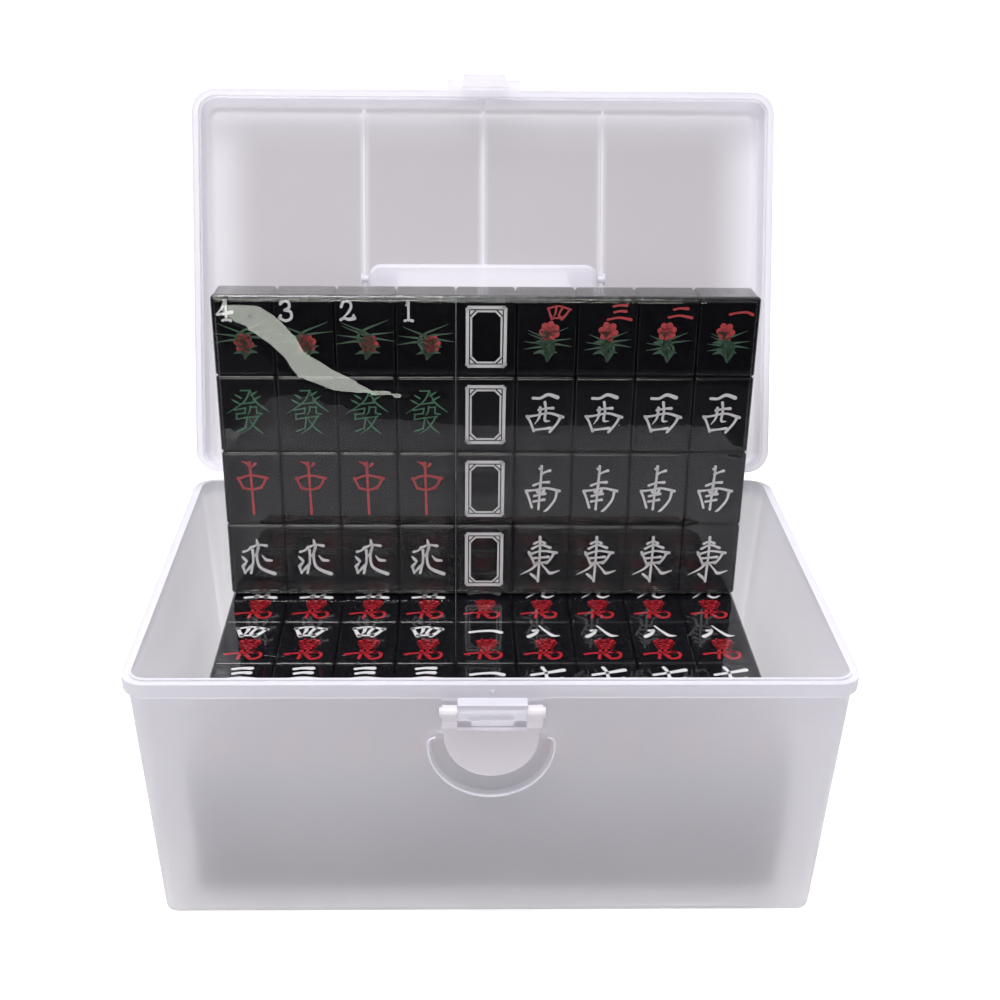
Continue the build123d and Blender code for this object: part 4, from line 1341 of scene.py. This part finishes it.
def table_paint():
    material, tree = new_material("table_white")
    place = add_node(tree, "ShaderNodeTexCoord")
    split = add_node(tree, "ShaderNodeSeparateXYZ", {"Vector": place.outputs["Object"]})
    # Painted shade: the table turns grey towards the viewer and nearly black beyond its front edge.
    near = add_node(tree, "ShaderNodeMapRange", {
        "Value": split.outputs["Y"],
        "From Min": TABLE_FRONT - FRONT_SOFT, "From Max": TABLE_FRONT + FRONT_SOFT,
    })
    lit = soft_step(tree, split.outputs["Y"], TABLE_DIM, TABLE_LIT)
    tint = add_node(tree, "ShaderNodeMix", {
        0: lit, 6: colour("#505054"), 7: colour("#f2f2f2"),
    }, data_type="RGBA")
    tint = add_node(tree, "ShaderNodeMix", {
        0: near.outputs["Result"], 6: colour("#202022"), 7: tint.outputs[2],
    }, data_type="RGBA")
    path = add_node(tree, "ShaderNodeLightPath")
    kept = add_node(tree, "ShaderNodeMapRange", {
        "Value": path.outputs["Is Glossy Ray"], "To Min": 1.0, "To Max": MIRROR_KEEP,
    })
    tint = add_node(tree, "ShaderNodeVectorMath", {
        0: tint.outputs[2], "Scale": kept.outputs["Result"],
    }, operation="SCALE")
    matte = add_node(tree, "ShaderNodeBsdfDiffuse", {"Color": tint.outputs["Vector"]})
    radius = add_node(tree, "ShaderNodeVectorMath", {0: place.outputs["Object"]}, operation="LENGTH")
    for_eye = soft_step(tree, radius.outputs["Value"], NEAR_WHITE, FULL_WHITE)
    eye_glow = add_node(tree, "ShaderNodeMapRange", {
        "Value": for_eye, "To Min": EYE_LIFT, "To Max": EYE_FULL,
    })
    mirrored = both(tree, path.outputs["Is Glossy Ray"], near.outputs["Result"])
    mirrored = both(tree, mirrored, MIRROR_LIFT)
    through = both(tree, path.outputs["Is Transmission Ray"], THROUGH_LIFT)
    seen = both(tree, path.outputs["Is Camera Ray"], eye_glow.outputs["Result"])
    lift = add_node(tree, "ShaderNodeMath", {0: seen, 1: mirrored}, operation="MAXIMUM")
    lift = add_node(tree, "ShaderNodeMath", {0: lift.outputs[0], 1: through}, operation="MAXIMUM")
    glow = add_node(tree, "ShaderNodeEmission", {"Strength": lift.outputs[0]})
    table = add_node(tree, "ShaderNodeAddShader", {0: matte.outputs[0], 1: glow.outputs[0]})
    add_node(tree, "ShaderNodeOutputMaterial", {"Surface": table.outputs[0]})
    return material


bpy.ops.mesh.primitive_plane_add(size=TABLE_SIZE)
floor = bpy.context.object
floor.name = "floor"
floor.data.materials.append(table_paint())
print("floor", TABLE_SIZE, "m, light from", TABLE_FRONT, "m on")

# %% Lamps
def soft_lamp(name, place, aim, width, height, power):
    lamp = bpy.data.lights.new(name, "AREA")
    lamp.shape = "RECTANGLE"
    lamp.size, lamp.size_y = width, height
    lamp.energy = power
    body = bpy.data.objects.new(name, lamp)
    body.location = place
    body.rotation_euler = (Vector(aim) - Vector(place)).to_track_quat("-Z", "Y").to_euler()
    bpy.context.scene.collection.objects.link(body)
    print(name, power, "W,", width, "by", height, "m")
    return body


soft_lamp("lamp_above", (-0.3, -0.45, 1.9), (0, 0, 0.1), 0.8, 0.8, 29.5)
streak = soft_lamp("lamp_streak", (-0.05, -1.58, 0.45), (-0.10, 0.06, 0.24), 0.84, 0.48, 12.2)
streak.data.color = (0.95, 1.0, 0.90)
streak.visible_diffuse = False          # it only shows as a reflection
streak.visible_transmission = False

# %% The room
ROOM_LOW = 0.22           # low in front of the case
ROOM_HIGH = 0.85          # above and behind it
BRIGHT_WAY = (0, 0.5, 0.8)              # up and back
DARK_BELOW, BRIGHT_ABOVE = -0.25, 0.75  # share of a direction that points that way
SEEN_THROUGH = 0.80       # the white backdrop as it shows through the plastic
world = bpy.data.worlds.new("room")
bpy.context.scene.world = world
world.use_nodes = True
room = world.node_tree
room.nodes.clear()
view_way = add_node(room, "ShaderNodeTexCoord")
height = add_node(room, "ShaderNodeVectorMath", {
    0: view_way.outputs["Generated"], 1: BRIGHT_WAY,
}, operation="DOT_PRODUCT")
strength = add_node(room, "ShaderNodeMapRange", {
    "Value": height.outputs["Value"], "From Min": DARK_BELOW, "From Max": BRIGHT_ABOVE,
    "To Min": ROOM_LOW, "To Max": ROOM_HIGH,
})
path = add_node(room, "ShaderNodeLightPath")
through = add_node(room, "ShaderNodeMix", {
    0: path.outputs["Is Transmission Ray"], 2: strength.outputs["Result"], 3: SEEN_THROUGH,
})
white = add_node(room, "ShaderNodeMix", {0: path.outputs["Is Camera Ray"], 2: through.outputs[0], 3: 1.0})
sky = add_node(room, "ShaderNodeBackground", {"Color": [1, 1, 1, 1], "Strength": white.outputs[0]})
add_node(room, "ShaderNodeOutputWorld", {"Surface": sky.outputs[0]})
print("room strength", ROOM_LOW, "to", ROOM_HIGH)

# %% [markdown]
# ## Camera
# A normal lens, a little above the case and in front of it, tilted down so that the
# open lid, the standing pack and the front wall all show.  Its focal length and its
# centre are kept in pixels, and the lens and the shift are worked out from them.

# %% Camera
FRAME_PX = 1000
FOCAL_PX = 1344.8         # focal length in picture widths of 1000
CENTRE_PX = (478.6, 588.6)
SENSOR = 36.0
camera_data = bpy.data.cameras.new("camera")
camera_data.sensor_width = SENSOR
camera_data.lens = FOCAL_PX / FRAME_PX * SENSOR
camera_data.shift_x = 0.5 - CENTRE_PX[0] / FRAME_PX
camera_data.shift_y = CENTRE_PX[1] / FRAME_PX - 0.5
camera = bpy.data.objects.new("camera", camera_data)
camera.location = (-0.0156, -0.5622, 0.4347)
PITCH, YAW, ROLL = math.radians(29.32), math.radians(-1.17), math.radians(0.59)
turn = Matrix.Rotation(YAW, 4, "Z") @ Matrix.Rotation(math.pi / 2 - PITCH, 4, "X")
turn = turn @ Matrix.Rotation(ROLL, 4, "Z")
camera.rotation_euler = turn.to_euler()
bpy.context.scene.collection.objects.link(camera)
bpy.context.scene.camera = camera
bpy.context.scene.view_settings.view_transform = "Standard"
print("lens", round(camera_data.lens, 1), "mm")
